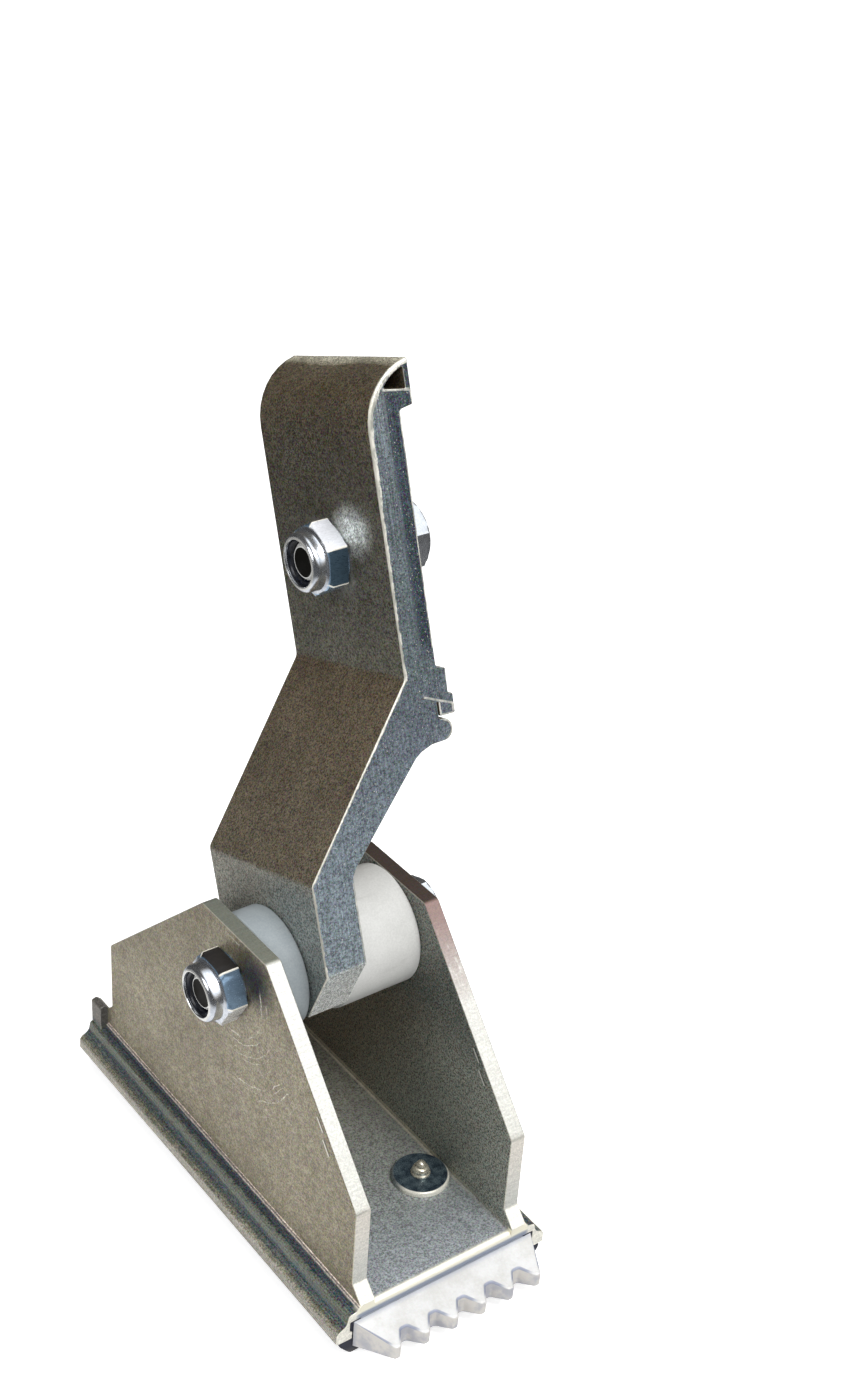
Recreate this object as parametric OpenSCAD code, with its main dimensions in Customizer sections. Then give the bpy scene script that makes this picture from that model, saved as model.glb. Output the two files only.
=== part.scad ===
// Swivel foot for an aluminium ladder stile, in millimetres.
// Origin: centre of the sole's underside. +X points from the outer ear to the inner ear,
// -Y points to the claws and +Z points up. The arm is drawn leaning back, as it stands in use.

/* [Shoe] */
// length of the shoe's base along the ground
shoe_len = 132; // [120:1:160]
// clear width between the two ears
ear_gap = 43; // [41:0.5:56]
// thickness of each ear
ear_t = 4.5; // [3.5:0.25:6]
// height of the ear's flat top above the ground
ear_top = 90.5; // [88:0.5:98]
// length of the ear's flat top
ear_flat = 29.5; // [26:0.5:40]
// height at which the ear's front slope ends
ear_front_z = 42.5; // [32:0.5:50]
// height at which the ear's rear slope ends
ear_rear_z = 44.5; // [32:0.5:50]
// length of base left free beyond the ears at each end
base_step = 5; // [4:0.5:8]
// thickness of the base between the ears
floor_t = 3; // [2.5:0.25:4]
// height of the base's top face above the ground
floor_z = 14; // [13:0.5:17]
// width that each side rail adds beyond the ear
rail_w = 6.8; // [6:0.2:9]

/* [Pivot] */
// height of the pivot bolt's axis above the ground
pivot_h = 74.5; // [70:0.5:76]
// how far the pivot bolt's axis stands towards the claws from the middle of the base
pivot_back = 4; // [0:0.5:8]
// outer diameter of the two plastic spacers
spacer_d = 32.5; // [28:0.5:36]
// thickness of the spacer between the outer ear and the arm
outer_spacer_t = 8.9; // [6:0.1:10]
// play on each flat side of the arm's eye
side_play = 0.1; // [0.05:0.05:0.3]
// radial play of the pivot bolt in the arm
pin_play = 0.07; // [0.02:0.01:0.1]

/* [Arm] */
// lean of the arm from upright, towards the rear
arm_lean = 19.1; // [12:0.1:25]
// width of the arm along the ladder's depth
arm_w = 50; // [44:1:60]
// thickness of the arm's lower leg
leg_t = 11.9; // [10:0.1:13]
// sideways offset between the outer faces of the two legs
crank_x = 34.8; // [32:0.2:36]
// height of the lower outer bend above the pivot
bend_low = 26.8; // [25:0.2:30]
// height of the upper outer bend above the pivot
bend_high = 69.2; // [66:0.2:72]
// height of the arm's top above the pivot
arm_top = 145.3; // [141:0.2:165]
// thickness of the upper leg behind its relief
upper_t = 9.5; // [8:0.25:10.5]
// thickness of the upper leg at its seats on the stile
seat_t = 13.4; // [12.6:0.2:15]
// radius of the arm's rounded top
nose_r = 16.6; // [15:0.2:18]
// thickness of the walls around the hollow top
nose_wall = 1.5; // [1.2:0.1:2]
// height of the stile bolt above the pivot
stile_bolt_z = 98.2; // [90:0.2:106]
// distance from the pivot to the arm's lower end
arm_toe = 11.5; // [10.5:0.5:16]
// length cut off each lower corner, across the arm
toe_cut_y = 12.8; // [8:0.2:14]
// height of the cut on each lower corner
toe_cut_z = 14.3; // [10:0.2:18]

/* [Fasteners] */
// thread diameter of both bolts
bolt_d = 10; // [8:1:10]
// width across flats of the nuts and heads
nut_af = 17; // [15:1:18]
// full height of a lock nut
nut_h = 10; // [9:0.5:11]
// height of a bolt head
head_h = 6.4; // [5:0.1:7]
// outer diameter of the flat washers
washer_d = 20; // [19:0.5:24]
// thickness of the flat washers
washer_t = 2; // [1.5:0.25:2.5]
// clearance of a bolt in a plain hole, on diameter
hole_play = 0.5; // [0.3:0.1:1]
// wall of the ladder stile that the arm is bolted to
stile_wall = 3; // [2:0.25:4]
// turn of the pivot nut about its bolt
pivot_nut_turn = 58.5; // [0:0.5:60]
// turn of the stile nut about its bolt
stile_nut_turn = 19; // [0:0.5:60]

/* [Claw] */
// number of teeth
tooth_count = 6; // [5:1:7]
// distance between teeth
tooth_pitch = 8.8; // [8:0.1:9]
// depth of the gaps between teeth
tooth_depth = 4; // [3:0.25:5]
// reach of the teeth beyond the base
claw_reach = 11.2; // [10:0.2:14]
// thickness of the teeth at their tips
tip_t = 4.4; // [3:0.2:5]
// fall of the claw's top face from the base to the tips
claw_fall = 2; // [1:0.25:3]
// length of the claw's tail under the base
tail_len = 44; // [38:1:60]
// thickness of the claw's tail
tail_t = 5; // [4:0.25:5.5]

/* [Sole and rivets] */
// height of the rubber below the side rails
sole_drop = 5; // [4:0.25:6]
// number of cross grooves in the underside of the sole
groove_count = 9; // [5:2:11]
// diameter of the rivets
rivet_d = 4; // [3.2:0.4:4.8]
// outer diameter of the rivet washers
rivet_washer_d = 15.6; // [14:0.2:16]
// thickness of the rivet washers
rivet_washer_t = 1.6; // [1.2:0.2:2]
// distance of each rivet from the middle of the base
rivet_x = 13.6; // [12:0.2:13.6]
// distance of the rivets from the front end of the base
rivet_back = 29.3; // [20:0.1:32]

/* [Hidden] */
$fn = 64;
fit_gap = 0.1;            // between pieces that lie against each other without moving
ear_in = ear_gap / 2;
ear_out = ear_in + ear_t;
front_y = -shoe_len / 2;
rear_y = shoe_len / 2;
pivot_y = -pivot_back;
ear_front_y = front_y + base_step - 1;
ear_rear_y = rear_y - base_step - 2.6;
ear_foot_z = floor_z + 1.1;
ridge_z = ear_foot_z + 4.2;
floor_under = floor_z - floor_t;
rail_out = ear_out + rail_w;
rail_in = ear_out + 2;
key_x = rail_in + 0.8;
key_low = sole_drop + 2.4;
bore_d = bolt_d + hole_play;
thread_d = bolt_d + 2 * fit_gap;
leg_x0 = -ear_in + outer_spacer_t + side_play;
leg_x1 = leg_x0 + leg_t;
inner_spacer_t = ear_in - leg_x1 - side_play;
upper_x = leg_x0 + crank_x;
relief_x = upper_x + upper_t;
seat_x = upper_x + seat_t;
relief_low = bend_high + 1;
relief_high = arm_top - 11.5;
lobe_r = 2.8;
lobe_x = seat_x - 1.4 - lobe_r;
lobe_z = bend_high - 15.2;
nib_slot = 0.5;
nib_x = seat_x - 4.6;
hex_r = nut_af / sqrt(3);
collar_r = 0.45 * nut_af;
collar_rim_r = 0.36 * nut_af;
rivet_y = front_y + rivet_back;
pin_r = 0.26 * rivet_d;
tail_low = floor_under - tail_t;
washer_top = floor_z + rivet_washer_t;
tip_y = front_y - claw_reach;
tip_top = floor_under - claw_fall;
claw_half = ear_out - 0.5;
root_half = rail_in - fit_gap;
tip_half = tooth_pitch * (tooth_count - 1) / 2;
zinc = [0.80, 0.82, 0.85];
bare = [0.72, 0.73, 0.74];
nylon = [0.90, 0.90, 0.87];
dark_nylon = [0.10, 0.13, 0.24];
rubber = [0.09, 0.10, 0.14];

// "all" draws every piece, any other value draws that piece alone

// a child drawn with Z as its axis is laid along +X, starting at x
module along_x(x) translate([x, 0, 0]) rotate([0, 90, 0]) children();

// children drawn about the pivot are put at the pivot of the shoe
module at_pivot() translate([0, pivot_y, pivot_h]) children();

// children drawn in the arm's own axes are put in place with the arm's lean
module on_arm() at_pivot() rotate([-arm_lean, 0, 0]) children();

// children are placed at both rivets
module at_rivets() for (s = [-1, 1]) translate([s * rivet_x, rivet_y, 0]) children();

// an outline in X and Z becomes a bar along Y, centred on y
module bar_y(y, len) translate([0, y, 0]) rotate([90, 0, 0]) linear_extrude(len, center = true) children();

// an outline in Y and Z becomes a plate from x to x + t
module plate_x(x, t) translate([x, 0, 0]) rotate([90, 0, 90]) linear_extrude(t) children();

// side of the ear: slopes in front and behind, with a low step at both ends
module ear_outline() polygon([
    [front_y, floor_under], [rear_y, floor_under], [rear_y, ear_foot_z], [ear_rear_y, ridge_z + 3.4],
    [ear_rear_y, ear_rear_z], [pivot_y + ear_flat * 0.46, ear_top], [pivot_y - ear_flat * 0.54, ear_top],
    [ear_front_y, ear_front_z], [ear_front_y, ridge_z], [front_y, ear_foot_z]]);

// section of one side rail, right-hand side: a groove under the ear, a crest, a hollow flare and a lip
module rail_section() difference() {
    polygon([[ear_in, floor_under], [ear_in, floor_z], [ear_out, ear_foot_z], [ear_out + 1.1, ear_foot_z - 1.4],
        [ear_out + 2.9, ear_foot_z - 1.8], [ear_out + 3.9, ear_foot_z - 3.6], [rail_out - 0.7, sole_drop + 4.3],
        [rail_out, sole_drop + 3.2], [rail_out, sole_drop + 0.6], [rail_out - 0.6, sole_drop],
        [rail_in, sole_drop], [rail_in, key_low], [key_x, key_low + 0.6], [key_x, floor_under]]);
    translate([rail_out + 0.2, ear_foot_z - 3.2]) circle(1.7);
}

// left over beside the ear's foot at the rear end, where the saw cut ran out
module heel_stub() bar_y(rear_y - 2.6, 5.2) polygon([[ear_in, floor_z], [ear_in, ear_foot_z + 2.9],
    [ear_out + 1, ear_foot_z + 6.4], [ear_out + 2.5, ear_foot_z + 6.1], [ear_out + 2.5, ear_foot_z - 1.9],
    [ear_out, floor_z - 1]]);

module shoe_channel() color(bare) difference() {
    union() {
        translate([-ear_out, front_y, floor_under]) cube([2 * ear_out, shoe_len, floor_t]);
        for (s = [0, 1]) mirror([s, 0, 0]) {
            plate_x(ear_in, ear_t) ear_outline();
            bar_y(0, shoe_len) rail_section();
            heel_stub();
        }
    }
    at_pivot() along_x(-ear_out - 1) cylinder(d = bore_d, h = 2 * ear_out + 2);
    at_rivets() translate([0, 0, floor_under - 1]) cylinder(d = rivet_d + 2 * fit_gap, h = floor_t + 2);
}

// plan of the claw: straight tail, a wider root that covers the sole's front end, sides drawn in towards
// the tips, round-rooted gaps between the teeth
module claw_plan() difference() {
    polygon([[-claw_half, front_y + tail_len], [-claw_half, front_y - fit_gap],
        [-root_half, front_y - fit_gap], [-tip_half - 0.8, tip_y], [tip_half + 0.8, tip_y],
        [root_half, front_y - fit_gap], [claw_half, front_y - fit_gap], [claw_half, front_y + tail_len]]);
    for (i = [0 : tooth_count - 2]) translate([(i + 0.5) * tooth_pitch - tip_half, tip_y]) {
        half = tooth_pitch / 2 - 0.7;
        root = 1;
        polygon([[-half, -1], [-half, 0], [-root * 0.9, tooth_depth - root * 0.6],
            [root * 0.9, tooth_depth - root * 0.6], [half, 0], [half, -1]]);
        translate([0, tooth_depth - root]) circle(root);
    }
}

// side of the claw: a flat tail, then a wedge that falls to the tips and thins out
module claw_side() polygon([[front_y + tail_len, floor_under - fit_gap], [front_y, floor_under - fit_gap],
    [tip_y, tip_top], [tip_y, tip_top - tip_t + 0.8], [tip_y + 1, tip_top - tip_t], [front_y - 2, 2.4],
    [front_y - 0.6, 2.9], [front_y - 0.6, tail_low], [front_y + tail_len, tail_low]]);

module claw_plate() color([0.86, 0.86, 0.84]) difference() {
    intersection() {
        linear_extrude(floor_z) claw_plan();
        plate_x(-claw_half - 1, 2 * claw_half + 2) claw_side();
    }
    at_rivets() cylinder(d = rivet_d + 2 * fit_gap, h = floor_z);
}

// section of the sole: a tread with cut lower corners and a key that the side rails hold
module sole_section() polygon([for (s = [-1, 1]) for (p = s < 0
    ? [[rail_out - 1.2, sole_drop - fit_gap], [rail_out - 1.4, sole_drop - 1.6], [rail_in + 0.4, 0]]
    : [[rail_in + 0.4, 0], [rail_out - 1.4, sole_drop - 1.6], [rail_out - 1.2, sole_drop - fit_gap],
       [rail_in - fit_gap, sole_drop - fit_gap], [rail_in - fit_gap, key_low + fit_gap],
       [key_x - fit_gap, key_low + 0.8], [key_x - fit_gap, floor_under - fit_gap]]) [s * p[0], p[1]],
    [-key_x + fit_gap, floor_under - fit_gap], [-key_x + fit_gap, key_low + 0.8],
    [-rail_in + fit_gap, key_low + fit_gap], [-rail_in + fit_gap, sole_drop - fit_gap]]);

module rubber_sole() color(rubber) difference() {
    bar_y(0, shoe_len) sole_section();
    // room for the claw's tail and for the rivet heads under it
    translate([-claw_half - fit_gap, front_y - 1, tail_low - fit_gap])
        cube([2 * claw_half + 2 * fit_gap, tail_len + 1 + fit_gap, tail_t + 1]);
    at_rivets() translate([0, 0, tail_low - 0.4 * rivet_d]) cylinder(r = 1.2 * rivet_d, h = rivet_d);
    for (i = [0 : groove_count - 1]) let (y = (i - (groove_count - 1) / 2) * shoe_len / groove_count)
        if (abs(y) > 1) translate([-rail_out, y - 1.5, -1]) cube([2 * rail_out, 3, 2.6]);
}

// rivet body: flat head under the claw's tail, shank, and the end swelled in two rings above the washer
module claw_rivets() color(zinc) at_rivets() rotate_extrude() polygon([[pin_r + fit_gap, tail_low],
    [pin_r + fit_gap, tail_low - 0.25 * rivet_d], [0.8 * rivet_d, tail_low - 0.25 * rivet_d],
    [rivet_d, tail_low - 0.1 * rivet_d], [rivet_d, tail_low], [rivet_d / 2, tail_low],
    [rivet_d / 2, washer_top], [0.65 * rivet_d, washer_top], [0.67 * rivet_d, washer_top + 0.12 * rivet_d],
    [0.57 * rivet_d, washer_top + 0.24 * rivet_d], [0.58 * rivet_d, washer_top + 0.4 * rivet_d],
    [0.48 * rivet_d, washer_top + 0.58 * rivet_d], [pin_r + fit_gap, washer_top + 0.65 * rivet_d]]);

// rivet pin: the snapped stem inside the rivet and its round head on top
module rivet_mandrels() color([0.6, 0.62, 0.65]) at_rivets() {
    translate([0, 0, tail_low]) cylinder(r = pin_r, h = washer_top - tail_low + 0.75 * rivet_d);
    translate([0, 0, washer_top + 0.68 * rivet_d]) difference() {
        sphere(0.35 * rivet_d);
        translate([-rivet_d, -rivet_d, -2 * rivet_d]) cube(2 * rivet_d);
    }
}

module rivet_washers() color(zinc) at_rivets() translate([0, 0, floor_z]) rotate_extrude() polygon([
    [rivet_d / 2 + fit_gap, 0], [rivet_washer_d / 2, 0], [rivet_washer_d / 2, rivet_washer_t - 0.5],
    [rivet_washer_d / 2 - 0.5, rivet_washer_t], [rivet_d / 2 + fit_gap, rivet_washer_t]]);

// a turned spacer with small edge chamfers, bored for the bolt
module spacer(x, len) color(nylon) at_pivot() along_x(x) difference() {
    rotate_extrude() polygon([[bore_d / 2, 0], [spacer_d / 2 - 0.4, 0], [spacer_d / 2, 0.4],
        [spacer_d / 2, len - 0.4], [spacer_d / 2 - 0.4, len], [bore_d / 2, len]]);
}

module outer_spacer() spacer(-ear_in, outer_spacer_t);

module inner_spacer() spacer(ear_in - inner_spacer_t, inner_spacer_t);

// bolt along +Z with its head's underside at z = len and the thread end at 0
module bolt(len) color(zinc) {
    rotate_extrude() polygon([[0, 0], [bolt_d / 2 - 1, 0], [bolt_d / 2, 1], [bolt_d / 2, len], [0, len]]);
    translate([0, 0, len]) intersection() {
        cylinder(r = hex_r, h = head_h, $fn = 6);
        rotate_extrude() polygon([[0, 0], [nut_af / 2 + 1.6, 0], [nut_af / 2 + 1.6, head_h - 1.3],
            [nut_af / 2 - 0.5, head_h], [0, head_h]]);
    }
}

module flat_washer() color(zinc) difference() {
    rotate_extrude() polygon([[bore_d / 2, 0], [washer_d / 2 - 0.3, 0], [washer_d / 2, 0.3],
        [washer_d / 2, washer_t - 0.3], [washer_d / 2 - 0.3, washer_t], [bore_d / 2, washer_t]]);
}

// lock nut along +Z, seat at z = nut_h: a hexagon, then a round collar turned in over the insert
module lock_nut() color(zinc) difference() {
    union() {
        translate([0, 0, nut_h * 0.36]) intersection() {
            cylinder(r = hex_r, h = nut_h * 0.64, $fn = 6);
            rotate_extrude() polygon([[0, 0], [nut_af / 2 - 0.7, 0], [nut_af / 2 + 1.6, 1.5],
                [nut_af / 2 + 1.6, nut_h * 0.64 - 0.5], [nut_af / 2 + 0.6, nut_h * 0.64], [0, nut_h * 0.64]]);
        }
        translate([0, 0, 1.3]) cylinder(r = collar_r, h = nut_h * 0.36);
        translate([0, 0, 1.3]) intersection() {
            rotate_extrude() translate([collar_r - 1.3, 0]) circle(1.3);
            translate([0, 0, -1.3]) cylinder(r = collar_r, h = 1.3);
        }
        translate([0, 0, 0.3]) cylinder(r = collar_r - 1.3, h = 2);
    }
    translate([0, 0, -1]) cylinder(d = thread_d, h = nut_h + 2);
    translate([0, 0, -1]) cylinder(r = collar_rim_r, h = 4.2);
}

// plastic ring held inside the nut's collar
module nut_insert() color(dark_nylon) difference() {
    rotate_extrude() polygon([[thread_d / 2, 1.3], [thread_d / 2 + 0.4, 0.9], [collar_rim_r - 0.5, 0.9],
        [collar_rim_r - fit_gap, 1.4], [collar_rim_r - fit_gap, 3.1], [thread_d / 2, 3.1]]);
}

module pivot_bolt() at_pivot() along_x(-ear_out - nut_h + 1.6) rotate([0, 0, 11])
    bolt(2 * ear_out + nut_h + washer_t - 1.6);

module pivot_washer() at_pivot() along_x(ear_out) flat_washer();

module pivot_nut() at_pivot() along_x(-ear_out - nut_h) rotate([0, 0, 90 - pivot_nut_turn]) lock_nut();

module pivot_nut_insert() at_pivot() along_x(-ear_out - nut_h) nut_insert();

// side of the arm: leg with the eye, crank, upper leg with two seats, and the round hollow top;
// the lower seat ends in a nib, with a narrow slot between it and the round lobe beneath
module arm_section() difference() {
    polygon([[leg_x0, -arm_toe], [leg_x0, bend_low], [upper_x, bend_high], [upper_x, arm_top],
        [seat_x, arm_top], [seat_x, relief_high], [relief_x, relief_high - 0.6],
        [relief_x, relief_low], [seat_x - 1.2, relief_low - 1], [seat_x - 1.4, bend_high - 6.4],
        [seat_x, bend_high - 6.8], [seat_x, lobe_z + 3.3], [nib_x, lobe_z + 3.6],
        [nib_x, lobe_z + 7.3], [nib_x - nib_slot, lobe_z + 7.3], [nib_x - nib_slot, lobe_z + 3.3],
        [nib_x, lobe_z + 2.6], [lobe_x + 0.6, lobe_z + 2.6], [lobe_x + 0.6, lobe_z - 2.6],
        [upper_x + 5.3, lobe_z - 2.6], [upper_x + 2, lobe_z - 3.8], [upper_x, lobe_z - 5],
        [leg_x1 + 1.3, bend_low + 0.6], [leg_x1, bend_low - 1.6], [leg_x1, -arm_toe]]);
    // the outer top corner is rounded to a quarter circle
    difference() {
        translate([upper_x - 1, arm_top - nose_r]) square([seat_t + 2, nose_r + 1]);
        translate([upper_x + nose_r, arm_top - nose_r]) circle(nose_r);
    }
    // hollow behind the rounded top
    intersection() {
        translate([upper_x + nose_r, arm_top - nose_r]) circle(nose_r - nose_wall);
        polygon([[upper_x + nose_wall, arm_top - 6], [seat_x - nose_wall, arm_top - 7.6],
            [seat_x - nose_wall, arm_top], [upper_x + nose_wall, arm_top]]);
    }
}

module arm() color(bare) on_arm() difference() {
    union() {
        bar_y(0, arm_w) arm_section();
        bar_y(0, arm_w) translate([lobe_x, lobe_z]) circle(lobe_r);
    }
    // both lower corners are cut, so that the arm can turn close to the base
    for (s = [0, 1]) mirror([0, s, 0]) plate_x(leg_x0 - 1, leg_t + 2) polygon([
        [-arm_w / 2 - 1, -arm_toe + toe_cut_z + toe_cut_z / toe_cut_y], [-arm_w / 2 - 1, -arm_toe - 1],
        [-arm_w / 2 + toe_cut_y + toe_cut_y / toe_cut_z, -arm_toe - 1]]);
    along_x(leg_x0 - 1) cylinder(d = bolt_d + 2 * pin_play, h = leg_t + 2);
    translate([0, 0, stile_bolt_z]) along_x(upper_x - 1) cylinder(d = bore_d, h = seat_t + 2);
}

// children drawn along the stile bolt are put at its place on the arm
module at_stile_bolt(x) on_arm() translate([0, 0, stile_bolt_z]) along_x(x) children();

module stile_bolt() at_stile_bolt(upper_x - nut_h + 1.6) rotate([0, 0, 24])
    bolt(nut_h + seat_t + stile_wall + washer_t - 1.6);

module stile_washer() at_stile_bolt(seat_x + stile_wall) flat_washer();

module stile_nut() at_stile_bolt(upper_x - nut_h) rotate([0, 0, 90 - stile_nut_turn]) lock_nut();

module stile_nut_insert() at_stile_bolt(upper_x - nut_h) nut_insert();

shoe_channel();
claw_plate();
rubber_sole();
claw_rivets();
rivet_mandrels();
rivet_washers();
outer_spacer();
inner_spacer();
pivot_bolt();
pivot_washer();
pivot_nut();
pivot_nut_insert();
arm();
stile_bolt();
stile_washer();
stile_nut();
stile_nut_insert();
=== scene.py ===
import bpy
import numpy as np
from mathutils import Euler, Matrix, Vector
from mathutils.geometry import tessellate_polygon


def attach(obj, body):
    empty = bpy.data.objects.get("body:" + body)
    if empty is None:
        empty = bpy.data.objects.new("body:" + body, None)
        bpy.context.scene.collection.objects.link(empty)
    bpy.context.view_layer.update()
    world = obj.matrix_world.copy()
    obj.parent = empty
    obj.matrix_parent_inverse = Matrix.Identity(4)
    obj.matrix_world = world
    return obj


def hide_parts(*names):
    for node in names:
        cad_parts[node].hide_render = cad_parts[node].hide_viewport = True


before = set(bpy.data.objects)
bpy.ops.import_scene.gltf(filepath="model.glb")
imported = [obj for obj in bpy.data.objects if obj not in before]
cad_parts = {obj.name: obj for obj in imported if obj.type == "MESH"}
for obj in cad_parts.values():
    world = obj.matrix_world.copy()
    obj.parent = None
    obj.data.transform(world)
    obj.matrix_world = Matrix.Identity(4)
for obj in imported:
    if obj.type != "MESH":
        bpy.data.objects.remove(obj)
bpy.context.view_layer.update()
millimetre = 0.001
print("frame loaded:", len(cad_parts), "solids")


# the corners of a closed outline, run anticlockwise, become arcs tangent to both of their sides;
# a corner is (across, up, radius, rim), and the rim is the rounding that its edge gets at the ends
def roundedOutline(corners, steps=6):
    data = np.array(corners, float)
    spot, radius, rim = data[:, :2], data[:, 2], data[:, 3]
    ahead = np.roll(spot, -1, 0) - spot
    side = np.linalg.norm(ahead, axis=1)
    ahead = ahead / side[:, None]
    behind = np.roll(ahead, 1, 0)
    turn = np.arctan2(behind[:, 0] * ahead[:, 1] - behind[:, 1] * ahead[:, 0], (behind * ahead).sum(1))
    bend = np.where(turn < 0, -1.0, 1.0)
    # a corner that stands out is rounded by more than its rim, so that a ring drawn in does not fold over
    radius = np.where(turn > 1e-4, np.maximum(radius, rim * 1.2), radius)
    room = 0.98 * np.minimum(side, np.roll(side, 1))
    reach = np.minimum(radius * np.tan(np.abs(turn) / 2), room)
    radius = np.where(np.abs(turn) > 1e-4, reach / np.maximum(np.tan(np.abs(turn) / 2), 1e-6), 0)
    outward = np.stack([behind[:, 1], -behind[:, 0]], 1)
    centre = spot - behind * reach[:, None] - outward * (bend * radius)[:, None]
    swing = turn[:, None] * np.linspace(0, 1, steps + 1)[None, :]
    cosine, sine = np.cos(swing), np.sin(swing)
    normal = np.stack([outward[:, None, 0] * cosine - outward[:, None, 1] * sine,
                       outward[:, None, 0] * sine + outward[:, None, 1] * cosine], 2)
    points = centre[:, None, :] + normal * (bend * radius)[:, None, None]
    keep = np.ones(swing.shape, bool)
    keep[np.abs(turn) < 1e-4, 1:] = False      # a straight corner stays one point
    rims = np.repeat(rim[:, None], steps + 1, 1)
    return {"points": points[keep], "normals": normal[keep], "rims": rims[keep]}


# a circle run clockwise, as the edge of a hole, with its normals towards the centre
def roundHole(across, up, radius, rim=0.2, count=48):
    angle = -np.linspace(0, 2 * np.pi, count, endpoint=False)
    way = np.stack([np.cos(angle), np.sin(angle)], 1)
    return {"points": np.array([across, up]) + radius * way, "normals": -way, "rims": np.full(count, rim)}


# an outline listed anticlockwise is turned round, so that it bounds a hole
def asHole(outline):
    turned = {label: values[::-1] for label, values in outline.items()}
    turned["normals"] = -turned["normals"]
    return turned


# the other half of an outline that is the same on both sides of the middle, in reverse order
def mirrored(corners):
    return [(-across, *rest) for across, *rest in corners[::-1]]


# quads of a grid of rows by columns, each row closed on itself; the last row may join the first
def gridFaces(rows, columns, first=0, closed=False):
    row = np.arange(rows if closed else rows - 1)[:, None]
    column = np.arange(columns)[None, :]
    after = (row + 1) % rows
    beside = (column + 1) % columns
    quad = np.stack([row * columns + column, row * columns + beside,
                     after * columns + beside, after * columns + column], -1)
    return first + quad.reshape(-1, 4)


# a new object in the scene, at a place in metres
def addObject(name, data, spot=(0, 0, 0)):
    made = bpy.data.objects.new(name, data)
    made.location = spot
    bpy.context.scene.collection.objects.link(made)
    return made


# gathers the arrays of one piece, and makes its object from them
class Maker:
    def __init__(self):
        self.spots, self.normals, self.sawn, self.edge, self.count = [], [], [], [], 0
        self.faces, self.sides, self.flat = [], [], []

    # sawn and edge mark a cut side and a rounded edge, from 0 to 1, for the finishes; on a nut, sawn holds
    # instead how dark each flat's painted reflection is. A piece that is shaded by the angle between its faces
    # needs no normals.
    def addPoints(self, spots, normals, sawn=0.0, edge=0.0):
        first = self.count
        self.spots.append(spots)
        self.normals.append(spots * 0 if normals is None else normals)
        self.sawn.append(np.broadcast_to(sawn, len(spots)))
        self.edge.append(np.broadcast_to(edge, len(spots)))
        self.count += len(spots)
        return first

    def addFaces(self, faces, flat=False):
        self.faces += faces.tolist()
        self.sides.append(np.full(len(faces), faces.shape[1]))
        self.flat.append(np.full(len(faces), flat))

    # the piece's own axes are turned and moved to the shoe's, and millimetres become metres. Normals are those
    # of the shapes, or on a flat those of its faces; where sharp is given, edges past that angle are sharp.
    def build(self, name, body, nodes, material, turn=np.eye(3), shift=(0, 0, 0), sharp=None):
        spots, normals = np.concatenate(self.spots), np.concatenate(self.normals)
        mesh = bpy.data.meshes.new(name)
        mesh.from_pydata(((spots @ turn.T + np.array(shift)) * millimetre).tolist(), [], self.faces)
        marks = {"sawn": ("FLOAT", "value", self.sawn), "edge": ("FLOAT", "value", self.edge),
                 "place": ("FLOAT_VECTOR", "vector", self.spots)}
        for label, (kind, field, values) in marks.items():
            data = mesh.attributes.new(label, kind, "POINT").data
            data.foreach_set(field, np.concatenate(values).astype(np.float32).ravel())
        flat = np.concatenate(self.flat)
        mesh.polygons.foreach_set("use_smooth", ~flat)
        if sharp is None:
            corner = np.empty(len(mesh.loops), np.int32)
            mesh.loops.foreach_get("vertex_index", corner)
            wanted = (normals @ turn.T)[corner]
            sides = np.concatenate(self.sides)
            facing = np.empty(len(flat) * 3)
            mesh.polygons.foreach_get("normal", facing)
            level = np.repeat(flat, sides)
            wanted[level] = np.repeat(facing.reshape(-1, 3), sides, 0)[level]
            wanted /= np.maximum(np.linalg.norm(wanted, axis=1, keepdims=True), 1e-9)
            mesh.normals_split_custom_set(wanted.tolist())
        else:
            mesh.set_sharp_from_angle(angle=np.radians(sharp))
        piece = addObject(name, mesh)
        piece.data.materials.append(material)
        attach(piece, body)
        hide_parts(*nodes)


# which of (across, up, along) becomes X, Y and Z
axisOrder = {"x": (2, 0, 1), "y": (0, 2, 1), "z": (0, 1, 2)}


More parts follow.
